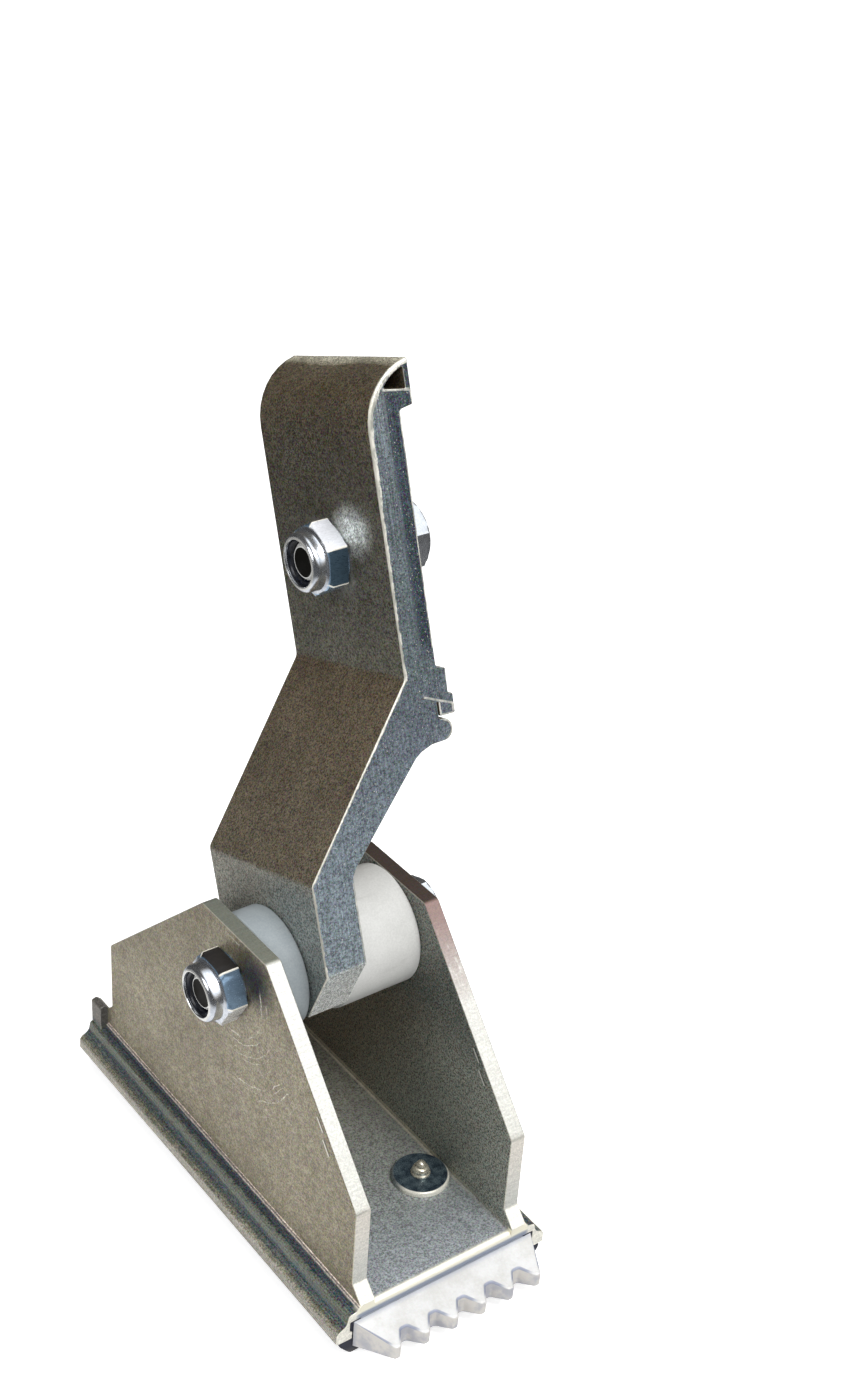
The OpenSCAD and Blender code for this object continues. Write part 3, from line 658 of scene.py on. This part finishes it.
def shoeAluminium():
    finish = Finish("shoeAluminium", Metallic=0.55, IOR=1.45)
    x, y, z = finish.parts()
    out = x.size()
    grain, coarse, cloud, lines, hair, isSawn, isEdge = drawnMarks(finish)
    light, deep = shoeLook["outside"]
    face = finish.mixed(cloud * 0.6 + coarse * 0.4, deep, light)
    # a painted dark reflection of the nut beside it, and the curved marks that its spanner left below it
    nutReflection = finish.softPatch(y, z, (-14.8, 82.6), (12.0, 11.5)) * (0 - x).rise(23.0, 25.0)
    face = face.blend(nutReflection, (64, 63, 60))
    ring = (((y - pivotSpot[1]) ** 2 + (z - pivotSpot[2]) ** 2) ** 0.5).least(60.0)
    wobble = finish.noise(0.16, 3.0, 0.6, stretch=(1.0, 0.7, 0.7))
    arcs = finish.rings(ring + wobble * 4.0, 0.8, 3.0, 0.8).rise(0.6, 0.68)
    arcs = arcs * ring.rise(12.5, 15.0) * ring.fall(30.0, 42.0) * wobble.rise(0.45, 0.6)
    face = face.blend(arcs * y.fall(-8.0, 0.0) * 0.85, (222, 218, 206))
    # the inner faces are painted shade, darker and browner towards the back and the top
    inside = finish.mixed(coarse * 0.3 + (y + z * 0.6).rise(-10.0, 30.0) * 0.7, *shoeLook["inside"])
    inside = inside.blend(z.rise(48.0, 66.0) * 0.9, shoeLook["insideTop"])
    # the floor's painted shade and reflection along the shoe
    ground = finish.tinted(y, shoeLook["floor"])
    low = z.fall(14.15, 14.4) * out.fall(21.4, 21.6)
    inward = out.fall(23.5, 24.0)
    flat = face.blend(inward, inside.blend(low, ground))
    # the crease where the floor meets the inner ear carries a bright line, fainter towards the front
    crease = finish.nearLine(x, z, (20.7, 14.0), (21.5, 15.0), 0.65) * (0.55 + coarse * 0.45)
    crease = crease * y.rise(-58.0, -25.0, 0.3, 1.0)
    # the rails' stripes of painted highlight and shade, with ragged edges
    ragged = ((coarse - 0.5) * 0.5 + (grain - 0.5) * 0.45) * out.rise(26.5, 27.2)
    rail = finish.tinted(out + ragged, shoeLook["rail"])
    below = z.fall(15.05, 15.3) * out.rise(25.85, 25.95)
    lug = out.rise(26.1, 26.3) * z.rise(14.6, 14.8)
    flat = flat.blend(below, rail.varied(lines, 0.5))
    flat = flat.varied(grain, 1.0 + inward * (0.7 - low * 0.75)).varied(coarse, 0.16).varied(lines, 0.1)
    flat = flat.specked(0.2).blend(crease * 0.85, (214, 206, 186))
    # the ears' sawn edges are painted light and shade by place, and their upright front ends lighter upwards
    sawn = finish.tinted(y + (cloud - 0.5) * 0.4, shoeLook["sawn"])
    upright = z.fall(41.8, 42.6) * z.rise(19.0, 19.6) * y.fall(-61.5, -60.5)
    sawn = sawn.blend(upright, finish.mixed(z.rise(18.0, 42.0), (194, 195, 190), (218, 213, 204)))
    # the inner ear's top is stained, and the stain runs down into its front slope
    stain = finish.noise(0.6, 4.0, 0.7, stretch=(1.0, 0.35, 0.35))
    stained = x.rise(20.0, 21.0) * z.rise(62.0, 90.0) * (stain + (z - 62) * 0.014).rise(0.5, 0.72)
    sawn = sawn.blend(stained * 0.85, (118, 86, 80))
    # the inner ear's top flat is painted dark brown, partly its stain and partly a painted dark reflection
    sawn = sawn.blend(x.rise(20.0, 21.0) * y.rise(-20.3, -19.3) * 0.85, (68, 60, 54))
    streaks = finish.noise(1.0, 4.0, 0.7, stretch=(0.12, 1.6, 1.6)).rise(0.3, 0.7)
    sawn = sawn.varied(streaks, 0.16).varied(grain, 0.3).specked(0.05)
    # the base's own front end: a cream painted highlight on its rounded edge above a thin blue-grey painted
    # shadow line
    base = z.fall(14.6, 15.2) * out.fall(26.0, 27.5) * y.size().rise(62.5, 64.0)
    brow = finish.mixed(z.rise(12.2, 13.0), (146, 154, 170), (236, 232, 214))
    sawn = sawn.blend(base, brow)
    flat = flat.blend(base * y.size().rise(63.6, 65.0), (232, 228, 210))
    colour = flat.blend(isSawn, sawn)
    # the rounded edges carry a painted highlight, and on the slopes a thin dark painted shade line instead
    slope = y.rise(-62.0, -61.0) * y.fall(-20.0, -19.0) * z.rise(42.0, 44.0)
    colour = colour.blend(isEdge * 0.5, finish.mixed(slope, (226, 222, 208), (128, 120, 106)))
    # each burr is a painted highlight line with a painted shadow line beside it
    for start, stop in shoeLook["burrs"]:
        burr = finish.nearLine(y, z, start, stop, 0.3)
        shade = finish.nearLine(y + 0.55, z - 0.5, start, stop, 0.3)
        colour = colour.blend(shade * 0.6, (60, 58, 54)).blend(burr * 0.85, (238, 236, 228))
    # the lugs are painted dark grey, as the shade they stand in
    colour = colour.blend(lug * 0.7, finish.varied((96, 95, 98), grain, 1.0))
    return finish.finished(colour.blend(hair * (1 - isSawn) * 0.3, (206, 202, 190)),
                           0.38 + grain * 0.16 + isSawn * 0.05 - isEdge * 0.1,
                           grain * 0.5 + lines * 0.4 * (1 - isSawn) + streaks * isSawn * 0.8 + coarse * 0.3,
                           0.25, 0.00012)


armFinish, shoeFinish = armAluminium(), shoeAluminium()


# the claw: tumbled bright cast metal with soft dents and fine pits; its sides are painted greyer than its
# top, as shade
def tumbledMetal():
    finish = Finish("tumbledMetal", Metallic=0.15, IOR=1.4)
    cloud = finish.noise(0.16, 4.0, 0.6)
    pits = finish.noise(1.3, 4.0, 0.65)
    isEdge = finish.attribute("edge").rise(0.2, 0.9)
    isFlank = finish.attribute("sawn").rise(0.35, 0.65)
    colour = finish.mixed((cloud * 0.7 + pits * 0.3).rise(0.35, 0.65), (200, 199, 196), (217, 217, 217))
    # the sides are painted greyer, as shade
    colour = colour.blend(isFlank * 0.8, finish.mixed(cloud.rise(0.4, 0.6), (160, 161, 170), (198, 194, 188)))
    colour = colour.blend(pits.rise(0.68, 0.74) * 0.35, (140, 138, 138))
    # painted blue-grey shade on the rims of the roots between the teeth, and painted shade on the strip beside
    # the floor's end
    _, y, _ = finish.parts()
    colour = colour.blend(isEdge * y.rise(-76.4, -74.6) * 0.75, (112, 120, 146))
    colour = colour.blend(y.rise(-67.6, -66.2) * 0.5, (150, 156, 172))
    return finish.finished(colour.specked(0.04),
                           0.46 + pits * 0.2 - isEdge * 0.08,
                           cloud * 0.6 + pits * 0.5, 0.35, 0.0003)


# the sole's rubber: near-black with a blue cast, fine moulded grain and dusty lower edges
def mouldedRubber():
    finish = Finish("mouldedRubber", IOR=1.5)
    grain = finish.noise(2.2, 4.0, 0.6)
    dust = finish.noise(0.12, 4.0, 0.6)
    height = finish.parts()[2]
    low = height.fall(0.1, 3.0) * dust.rise(0.4, 0.65)
    colour = finish.mixed(grain.rise(0.35, 0.65), (12, 14, 26), (22, 27, 50))
    return finish.finished(colour.blend(low * 0.45, (105, 102, 98)),
                           0.52 + grain * 0.25 + low * 0.15,
                           grain, 0.3, 0.0002)


# a spacer's nylon: matt, slightly uneven, with turning rings on its ends and grease marks
def turnedNylon(name, light, deep, grime):
    finish = Finish(name, IOR=1.5)
    across, along, _ = finish.parts()
    radius = (across ** 2 + along ** 2) ** 0.5
    rings = finish.rings(radius, 3.0, 2.0)
    cloud = finish.noise(0.13, 4.0, 0.6)
    grain = finish.noise(2.0, 3.0, 0.6)
    stain = finish.noise(0.35, 4.0, 0.65, stretch=(1.0, 1.0, 0.3)).rise(0.58, 0.72)
    colour = finish.mixed((cloud * 0.4 + grain * 0.6).rise(0.3, 0.7), deep, light)
    return finish.finished(colour.blend(stain * grime, (120, 118, 112)),
                           0.42 + grain * 0.2 + stain * 0.1,
                           grain * 0.5 + rings * 0.4, 0.2, 0.00015)


# colours of the painted reflections on a nut's flats, from bright to dark
reflectionTones = [(0.0, (206, 220, 234)), (0.3, (150, 178, 206)), (0.7, (70, 92, 108)), (1.0, (46, 44, 44))]


# plated steel: bright, with fine turning or drawing marks and dull specks in the plating, painted reflections
# on a nut's flats and painted highlights on edges. rim is the middle of a washer, across and along, and the
# radius from which its edge carries a painted highlight, on its front side.
def platedSteel(name, light, deep, rough=0.22, metal=0.95, rim=None):
    finish = Finish(name, Metallic=metal)
    cloud = finish.noise(0.5, 4.0, 0.6)
    fine = finish.noise(1.6, 4.0, 0.65, stretch=(3.0, 3.0, 0.6))
    speck = finish.noise(2.4, 3.0, 0.65).rise(0.63, 0.72)
    reflection, isEdge = finish.attribute("sawn"), finish.attribute("edge")
    if rim:
        across, along, _ = finish.parts()
        reach = ((across.size() - rim[0]) ** 2 + (along - rim[1]) ** 2) ** 0.5
        isEdge = reach.rise(rim[2] - 0.15, rim[2] + 0.1) * (1 - (along - rim[1]).rise(-4.0, 1.5) * 0.85)
    brightReflection = (0 - reflection).most(0.0)
    colour = finish.mixed(cloud.rise(0.35, 0.65), deep, light).varied(fine, 0.3)
    # each nut flat takes its painted reflection, dark, or below 0 bright, and the edges a painted highlight
    colour = colour.blend(reflection.rise(0.0, 0.15), finish.tinted(reflection, reflectionTones).varied(fine, 1.2))
    colour = colour.blend(brightReflection, finish.varied((238, 240, 246), fine, 0.6))
    colour = colour.blend(isEdge * 0.8, (246, 242, 228))
    finish.feed("Metallic", (metal - brightReflection * 0.7 - isEdge * 0.4 - reflection.most(0.0) * 0.6).limited())
    return finish.finished(colour.blend(speck * 0.4, (90, 92, 98)),
                           rough + fine * 0.14 + speck * 0.15 + reflection.size() * 0.12,
                           fine * 0.3 + cloud * 0.2, 0.1, 0.0001)


# the lock ring's nylon, glossy where the thread has pressed it
def pressedNylon():
    finish = Finish("pressedNylon", IOR=1.5)
    mark = finish.noise(1.1, 4.0, 0.6, stretch=(1.0, 1.0, 2.0))
    return finish.finished(finish.mixed(mark.rise(0.35, 0.65), (8, 10, 16), (18, 24, 38)),
                           0.22 + mark * 0.2,
                           mark, 0.2, 0.0002)


# a bolt: plated along its shank, with dark oiled dirt in the thread's grooves, a painted dark reflection
# over the recessed end, and a painted bright reflection on the end's chamfer
def oiledThread():
    finish = Finish("oiledThread", Metallic=0.9)
    across, along, height = finish.parts()
    radius = (across ** 2 + along ** 2) ** 0.5
    fine = finish.noise(1.4, 4.0, 0.6)
    nearEnd = height.fall(1.5, 6.0)
    root = radius.fall(4.35, 4.8)
    end = height.fall(0.02, 0.25)
    # the chamfer round the end carries a painted bright reflection
    chamfer = radius.rise(3.7, 3.9) * height.fall(1.0, 1.3)
    dirtAndReflection = ((root * 0.75 + end * 0.75 + fine * 0.3 * nearEnd) * (1 - chamfer * 0.95)).limited()
    colour = finish.mixed(fine, (178, 182, 188), (222, 225, 230)).blend(dirtAndReflection, (38, 36, 32))
    finish.feed("Metallic", 0.9 - chamfer * 0.7)
    return finish.finished(colour.blend(chamfer * 0.85, (244, 244, 240)),
                           0.2 + fine * 0.15 + dirtAndReflection * 0.3,
                           fine, 0.2, 0.00015)


clawFinish, rubberFinish = tumbledMetal(), mouldedRubber()
outerSpacerFinish = turnedNylon("coolNylon", (152, 159, 162), (138, 146, 150), 0.12)
innerSpacerFinish = turnedNylon("warmNylon", (211, 211, 208), (196, 196, 193), 0.12)
zincFinish = platedSteel("zincPlate", (232, 236, 242), (206, 212, 222), 0.13)
rivetFinish = platedSteel("rivetAluminium", (246, 240, 222), (214, 208, 190), 0.2, 0.8)
rivetWasherFinish = platedSteel("darkPlate", (96, 112, 120), (50, 64, 76), 0.2, 0.55, tuple(rivet.values()))
insertFinish, boltFinish = pressedNylon(), oiledThread()
print("finishes made")


# the arm's section across X and up, anticlockwise: toe, leg, crank, lower seat, slotted nib, ledge, the upper
# leg with its seat, and the round top
def armOutline():
    o, i, crease, toe = arm["outerRim"], arm["innerRim"], arm["crease"], arm["toe"]
    (legOut, legIn), (upperOut, upperIn) = arm["leg"], arm["upper"]
    return roundedOutline([
        (legOut, toe, 0.6, 0.3), (legIn, toe, 0.6, 0.3), (legIn, crease, 0, i), (legIn, 25.2, 1.5, i),
        (0.7, 27.4, 3, i), (upperOut, 49.0, 4, i), (24.3, 50.2, 2, i), (27.6, 51.2, 2, i),
        (34.3, 51.2, 2.7, 0.3), (34.3, 56.8, 2.7, 0.3),
        (31.1, 56.8, 0.3, 0.15), (30.6, 57.3, 0.2, 0.15), (30.6, 61.3, 0.2, 0.15), (31.1, 61.3, 0.2, 0.15),
        (31.1, 57.6, 0.3, 0.15), (35.7, 57.3, 0.5, 0.3), (35.7, 62.4, 0.4, 0.3), (34.3, 62.8, 0.3, 0.2),
        (34.5, 69.2, 0.5, 0.2), (upperIn, 70.2, 0.8, 0.2), (upperIn, 133.2, 0.8, 0.2),
        (35.7, 133.8, 0.5, 0.3), (35.7, 144.99, 0.35, 0.3), (upperOut, 142.36, 15.9, 0.8),
        (upperOut, 69.2, 2.5, o), (legOut, 26.8, 2.5, o), (legOut, crease, 0, o)], 8)


# half the arm's width at a height: less below the crease, in proportion to the depth under it
def armEnd(up):
    slope = (arm["halfWidth"] - arm["toeHalf"]) / (arm["crease"] - arm["toe"])
    return arm["halfWidth"] - np.maximum(arm["crease"] - up, 0) * slope


maker = Maker()
# the hollow inside the round top
chamber = asHole(roundedOutline([(27.7, 138.75, 0.4, 0.2), (34.2, 137.7, 0.4, 0.2), (34.2, 143.05, 0.4, 0.2),
                                 (30.46, 141.82, 12.5, 0.2)]))
bores = []
for (outer, inner), up, radius in ((arm["leg"], 0, arm["pivotBore"]),
                                   (arm["upper"], stileBolt["height"], arm["stileBore"])):
    for face, depth in ((outer, (inner - outer) / 2), (inner, (outer - inner) / 2)):
        bores.append({"face": face, "along": 0, "up": up, "radius": radius, "depth": depth})
carryAlong(maker, "y", -arm["halfWidth"], arm["halfWidth"], [armOutline(), chamber], endAt=armEnd,
           crease=arm["crease"], bores=bores)
maker.build("crankedArm", "arm", ["arm"], armFinish, armTurn, pivotSpot)
print("arm made")

# the shoe: its half length, its ears' faces across X, the ears' foot and top, and the pivot's bore
shoe = {"halfLength": 66.0, "ear": (21.5, 26.0), "foot": 11.3, "shoulder": 15.1, "top": 90.5,
        "pivotBore": 5.25, "lugFrom": 60.8}
end = shoe["halfLength"]

maker = Maker()
# the base's right half, from the rubber's slot round the rail's lip and crest to the floor
half = [(28.8, 11.0, 0.3, 0.2), (28.8, 8.0, 0.3, 0.2), (28.0, 7.4, 0.2, 0.2), (28.0, 5.0, 0.3, 0.25),
        (32.8, 5.0, 0.6, 0.3), (32.75, 8.3, 0.7, 0.3), (31.9, 9.2, 0.6, 0.3), (29.9, 10.2, 2.2, 0.3),
        (29.2, 13.25, 0.8, 0.3), (27.1, 13.7, 0.5, 0.3), (26.4, 14.9, 0.3, 0.25), (25.4, 14.9, 0.3, 0.25),
        (25.0, 14.0, 0.3, 1.8)]
carryAlong(maker, "y", -end, end, [roundedOutline(half + mirrored(half))])
foot, shoulder, top, near = shoe["foot"], shoe["shoulder"], shoe["top"], end - 0.1
ear = roundedOutline([(-near, foot, 0.1, 0.05), (near, foot, 0.1, 0.05), (near, shoulder, 0.3, 0.25),
                      (58.4, 22.7, 1.2, 0.3), (58.4, 44.5, 1.2, 0.35), (9.6, top, 2.0, 0.35),
                      (-19.9, top, 2.0, 0.35), (-62, 42.5, 1.4, 0.35), (-62, 19.3, 1.2, 0.35),
                      (-near, shoulder, 0.3, 0.25)])
pivotHole = roundHole(pivotSpot[1], pivotSpot[2], shoe["pivotBore"])
earIn, earOut = shoe["ear"]
for low, high in ((-earOut, -earIn), (earIn, earOut)):
    carryAlong(maker, "x", low, high, [ear, pivotHole], sawnEnds=False)
# the small lug at the rear end of each rail
stub = [(25.5, 13.0, 0.3, 0.25), (28.5, 13.0, 0.3, 0.25), (28.5, 21.1, 0.6, 0.25), (27.0, 21.5, 0.4, 0.25),
        (25.5, 20.2, 0.3, 0.25)]
for corners in (stub, mirrored(stub)):
    carryAlong(maker, "y", shoe["lugFrom"], end, [roundedOutline(corners)])
maker.build("shoeChannel", "shoe", ["shoe_channel"], shoeFinish)
print("shoe made")

# the claw: its teeth, its tail under the base with the rivets' holes, and the heights at its root with what
# they lose towards the tips
claw = {"teeth": 6, "pitch": 8.8, "depth": 4.0, "tip": -77.2, "root": -66.1, "rootHalf": 27.9, "rim": 0.8,
        "tailHalf": 25.5, "tail": -22.0, "tailLow": 6.0, "tailHigh": 10.9, "rivetBore": 2.1, "rise": 6.0,
        "rootTop": 10.9, "topDrop": 1.95, "rootUnder": 2.5, "underRise": 2.1}


# plan of the teeth, anticlockwise: straight flanks, flat tips with round corners and round roots
def clawOutline():
    half, tip, depth = claw["pitch"] * (claw["teeth"] - 1) / 2, claw["tip"], claw["depth"]
    middle = -half + claw["pitch"] * np.arange(claw["teeth"] - 1)[:, None] + claw["pitch"] / 2
    gap = claw["pitch"] / 2 - 0.75
    across = (middle + np.array([[-gap, -0.95, 0.95, gap]])).ravel()
    up = np.tile([tip, tip + depth, tip + depth, tip], claw["teeth"] - 1)
    soft = np.tile([0.7, 0.9, 0.9, 0.7], claw["teeth"] - 1)
    corners = [(-half - 0.8, tip, 0.9, claw["rim"])]
    corners += np.stack([across, up, soft, np.full(len(up), claw["rim"])], 1).tolist()
    corners += [(half + 0.8, tip, 0.9, claw["rim"]), (claw["rootHalf"], claw["root"], 0, 0.05),
                (-claw["rootHalf"], claw["root"], 0, 0.05)]
    return roundedOutline(corners, 5)


# the claw is carried up to an even height and then squeezed between two sloping planes: heights become
# shares of the way from the underside to the top at that distance from the tips
def clawSqueeze(spots):
    share = spots[:, 2] / claw["rise"]
    out = np.clip((claw["root"] - spots[:, 1]) / (claw["root"] - claw["tip"]), 0, 1)
    top = claw["rootTop"] - claw["topDrop"] * out
    under = claw["rootUnder"] + claw["underRise"] * np.clip((out - 0.12) / 0.88, 0, 1)
    return np.column_stack([spots[:, :2], under + share * (top - under)])


maker = Maker()
carryAlong(maker, "z", 0, claw["rise"], [clawOutline()], sawnEnds=False)
maker.spots[-1] = clawSqueeze(maker.spots[-1])
tailSide = [(claw["tailHalf"], -end, 0, 0.1), (claw["tailHalf"], claw["tail"], 1.5, 0.3)]
holes = [roundHole(side * rivet["across"], rivet["along"], claw["rivetBore"]) for side in (-1, 1)]
plate = roundedOutline(tailSide + mirrored(tailSide))
carryAlong(maker, "z", claw["tailLow"], claw["tailHigh"], [plate, *holes], sawnEnds=False)
maker.build("toothedClaw", "shoe", ["claw_plate"], clawFinish)
print("claw made")

# the sole: its cross grooves, and how far back it leaves room for the claw's tail
sole = {"grooves": 9, "grooveWidth": 3.0, "pocketEnd": -21.9}

maker = Maker()
side = [(29.8, 1.6, 0, 0.2), (31.4, 3.4, 0.8, 0.4), (31.6, 4.9, 0.2, 0.2), (27.9, 4.9, 0.2, 0.1),
        (27.9, 7.5, 0.2, 0.1), (28.7, 8.2, 0.2, 0.1), (28.7, 10.9, 0.3, 0.2)]
pocket = [(25.6, 10.9, 0.2, 0.1), (25.6, 5.9, 0.2, 0.1)]
for low, high, right in ((-end, sole["pocketEnd"], side + pocket), (sole["pocketEnd"], end, side)):
    carryAlong(maker, "y", low, high, [roundedOutline(right + mirrored(right), 4)])
cuts = (np.arange(sole["grooves"]) - (sole["grooves"] - 1) / 2) * 2 * end / sole["grooves"]
cuts = cuts[np.abs(cuts) > 1]
starts = np.concatenate([[-end], cuts + sole["grooveWidth"] / 2])
stops = np.concatenate([cuts - sole["grooveWidth"] / 2, [end]])
blockSide = [(28.4, 0.0, 1.0, 0.4), (29.9, 1.75, 0, 0.1)]
for low, high in zip(starts, stops):
    carryAlong(maker, "y", low, high, [roundedOutline(blockSide + mirrored(blockSide), 4)])
maker.build("rubberSole", "shoe", ["rubber_sole"], rubberFinish)
print("sole made")

# the spacers: where each begins along X, its length, and what both share
spacer = {"radius": 16.25, "bore": 5.25, "edge": 0.55, "outer": (-earIn, 8.9), "inner": (-0.5, 22.0)}


# a spacer's section: a plain tube whose outer edges are rounded
def spacerSection(length):
    edge, radius, bore = spacer["edge"], spacer["radius"], spacer["bore"]
    return [(bore, 0, 0.2, 0), (radius, 0, edge, 0), (radius, length, edge, 0), (bore, length, 0.2, 0)]


for side, finish in (("outer", outerSpacerFinish), ("inner", innerSpacerFinish)):
    start, length = spacer[side]
    maker = Maker()
    turnProfile(maker, spacerSection(length), 128)
    maker.build(side + "Spacer", "shoe", [side + "_spacer"], finish, alongX, onPivot(start))

# M10 fasteners, as (height, radius) rows of the hexagons and (radius, height) corners of what is turned
fastener = {"acrossFlats": 17.0, "rod": 5.0, "washerHeight": 2.0}
acrossFlats, thick = fastener["acrossFlats"], fastener["washerHeight"]
lockNut = [(0, 5.35), (0, 8.15), (0.08, 8.4), (0.75, 9.95), (5.2, 9.95), (5.9, 8.9), (6.2, 8.35),
           (6.38, 7.95), (6.5, 7.72), (6.75, 7.62), (8.2, 7.6), (8.7, 7.57), (9.1, 7.46), (9.45, 7.22),
           (9.72, 6.9), (9.9, 6.55), (9.98, 6.3), (9.95, 6.1), (9.8, 5.98), (9.2, 5.96), (9.05, 6.1),
           (6.9, 6.1), (6.9, 5.1), (0.3, 5.1)]
insert = [(5.1, 6.92, 0.05, 0), (6.05, 6.92, 0.05, 0), (6.05, 8.75, 0.2, 0), (5.75, 9.1, 0.2, 0),
          (5.45, 9.1, 0.2, 0), (5.1, 8.75, 0.15, 0)]
head = [(0, 0), (0, 8.2), (0.1, 8.4), (0.25, 9.95), (4.9, 9.95), (5.7, 8.9), (6.1, 8.3), (6.35, 7.7),
        (6.4, 7.2), (6.4, 0)]
washer = [(5.25, 0, 0.2, 0), (10.0, 0, 0.35, 0), (10.0, thick, 0.5, 0), (5.25, thick, 0.35, 0)]
for name, body, bolt, spot, seat, lie in (("pivot", "shoe", pivotBolt, onPivot, -earOut, np.eye(3)),
                                          ("stile", "arm", stileBolt, onStileBolt, arm["upper"][0], armTurn)):
    inward, outward = lie @ alongX, lie @ againstX
    maker = Maker()
    # local angles run the other way round on a piece that points to -X, so its turn is taken from 180 degrees
    turnHexagon(maker, acrossFlats, lockNut, 180 - bolt["nutTurn"] - 30, bolt["flatReflections"])
    maker.build(name + "Nut", body, [name + "_nut"], zincFinish, outward, spot(seat), sharp=24)
    maker = Maker()
    turnProfile(maker, insert)
    maker.build(name + "NutInsert", body, [name + "_nut_insert"], insertFinish, outward, spot(seat))
    maker = Maker()
    start, length = bolt["threadEnd"], bolt["length"]
    turnThread(maker, fastener["rod"], 0, length, bolt["runOut"])
    turnHexagon(maker, acrossFlats, [(height + length, radius) for height, radius in head], bolt["headTurn"])
    maker.build(name + "Bolt", body, [name + "_bolt"], boltFinish, inward, spot(start), sharp=32)
    maker = Maker()
    turnProfile(maker, washer)
    maker.build(name + "Washer", body, [name + "_washer"], zincFinish, inward,
                spot(start + length - thick))
print("nuts, bolts and washers made")

# sections of the rivets as (radius, height) corners: the swelled body, the snapped pin inside it, the washer
rivetBody = [(1.14, 5.0, 0.1, 0), (3.2, 5.0, 0.3, 0), (4.0, 5.6, 0.3, 0), (4.0, 6.0, 0.1, 0),
             (2.0, 6.0, 0.05, 0), (2.0, 15.6, 0.05, 0), (2.6, 15.6, 0.15, 0), (2.68, 16.1, 0.3, 0),
             (2.28, 16.56, 0.3, 0), (2.32, 17.2, 0.4, 0), (1.92, 17.92, 0.5, 0), (1.14, 18.2, 0.15, 0)]
rivetPin = [(0, 6.0, 0, 0), (1.04, 6.0, 0.1, 0), (1.04, 18.32, 0.05, 0), (1.4, 18.32, 0.1, 0),
            (1.32, 18.9, 0.5, 0), (0.9, 19.45, 0.6, 0), (0.3, 19.7, 0.5, 0), (0, 19.72, 0, 0)]
rivetWasher = [(2.1, 14.0, 0.1, 0), (7.8, 14.0, 0.2, 0), (7.8, 15.6, 0.75, 0), (2.1, 15.6, 0.2, 0)]
for name, node, section, finish, slotName in (
        ("clawRivets", "claw_rivets", rivetBody, rivetFinish, "rivet"),
        ("rivetPins", "rivet_mandrels", rivetPin, rivetFinish, "rivet"),
        ("rivetWashers", "rivet_washers", rivetWasher, rivetWasherFinish, "zinc")):
    maker = Maker()
    for side in (-1, 1):
        turnProfile(maker, section, 64, middle=(side * rivet["across"], rivet["along"], 0))
    maker.build(name, "shoe", [node], finish)
print("rivets made")

view = {"spot": (-0.24161, -0.34639, 0.40207), "turn": (57.0754, -2.8877, -35.3242), "lens": 53.115,
        "sensor": 36.0, "shift": (0.0279, 0.0468)}
cameraData = bpy.data.cameras.new("camera")
cameraData.lens, cameraData.sensor_width = view["lens"], view["sensor"]
cameraData.shift_x, cameraData.shift_y = view["shift"]
camera = addObject("camera", cameraData, view["spot"])
camera.rotation_euler = Euler(np.radians(view["turn"]).tolist())
bpy.context.scene.camera = camera

# each lamp is (power in watts, size, place), and points at the middle of the object. glow and sheet are the
# steps of what is reflected, as (low, high, first, last): by how near a direction lies to the bright one, and
# by the distance from the middle of the floor.
studio = {"lamps": {"key": (8.0, 0.45, (0.05, -0.55, 0.95)), "fill": (4.0, 0.6, (-0.9, -0.1, 0.6))},
          "aim": (0, 0, 0.09), "world": 0.6, "bright": (0.45, -0.35, 0.82), "glow": (0.42, 0.88, 0.035, 1.6),
          "floorHalf": 3, "floorTop": -0.0002, "sheet": (0.10, 0.26, 1.0, 0.05), "lift": 0.62}
for label, (power, size, spot) in studio["lamps"].items():
    lampData = bpy.data.lights.new(label, "AREA")
    lampData.energy, lampData.shape, lampData.size = power, "DISK", size
    lamp = addObject(label, lampData, spot)
    lamp.rotation_euler = (Vector(studio["aim"]) - lamp.location).to_track_quat("-Z", "Y").to_euler()

# the room: even for diffuse light, white to the camera, and in reflections bright overhead and towards the
# right, falling off to a dim warm side at the left and behind
world = bpy.data.worlds.new("studio")
bpy.context.scene.world = world
world.use_nodes = True
room = Graph(world.node_tree, "Background")
isCamera, isGlossy = room.rays()
facing = room.node("TexCoord", output="Generated")
lean = np.array(studio["bright"]) / np.linalg.norm(studio["bright"])
toward = room.node("VectorMath", {"operation": "DOT_PRODUCT"}, "Value", n0=facing, n1=tuple(lean.tolist()))
glow = toward.rise(*studio["glow"])
warm = room.mixed(glow, (222, 208, 186), (250, 253, 255))
room.feed("Color", room.mixed(isGlossy, (255, 255, 255), warm))
room.feed("Strength", isCamera + isGlossy * glow + (1 - isCamera) * (1 - isGlossy) * studio["world"])

# the floor: a pale sheet that takes the shadow, white to the camera where it is lit. In reflections it is
# white near the object and dims away from it.
floorMesh = bpy.data.meshes.new("floor")
square = np.array([(-1, -1), (1, -1), (1, 1), (-1, 1)]) * studio["floorHalf"]
floorMesh.from_pydata([(*corner, studio["floorTop"]) for corner in square.tolist()], [], [(0, 1, 2, 3)])
floor = addObject("floor", floorMesh)
sheet = Finish("paleSheet", Base_Color=(0.8, 0.8, 0.8, 1), Roughness=0.9, Specular_IOR_Level=0.1)
isCamera, isGlossy = sheet.rays()
away = sheet.node("VectorMath", {"operation": "LENGTH"}, "Value", n0=sheet.node("TexCoord", output="Object"))
near = away.rise(*studio["sheet"])
lift = sheet.node("Emission", Strength=isCamera * studio["lift"])
lit = sheet.node("AddShader", n0=Signal(sheet, sheet.shader.outputs[0]), n1=lift)
reflected = sheet.node("Emission", Strength=near)
whole = sheet.node("MixShader", n0=isGlossy, n1=lit, n2=reflected)
sheet.tree.links.new(whole.socket, sheet.tree.nodes["Material Output"].inputs["Surface"])
floorMesh.materials.append(sheet.material)
bpy.context.scene.view_settings.view_transform = "Standard"
print("stage set")
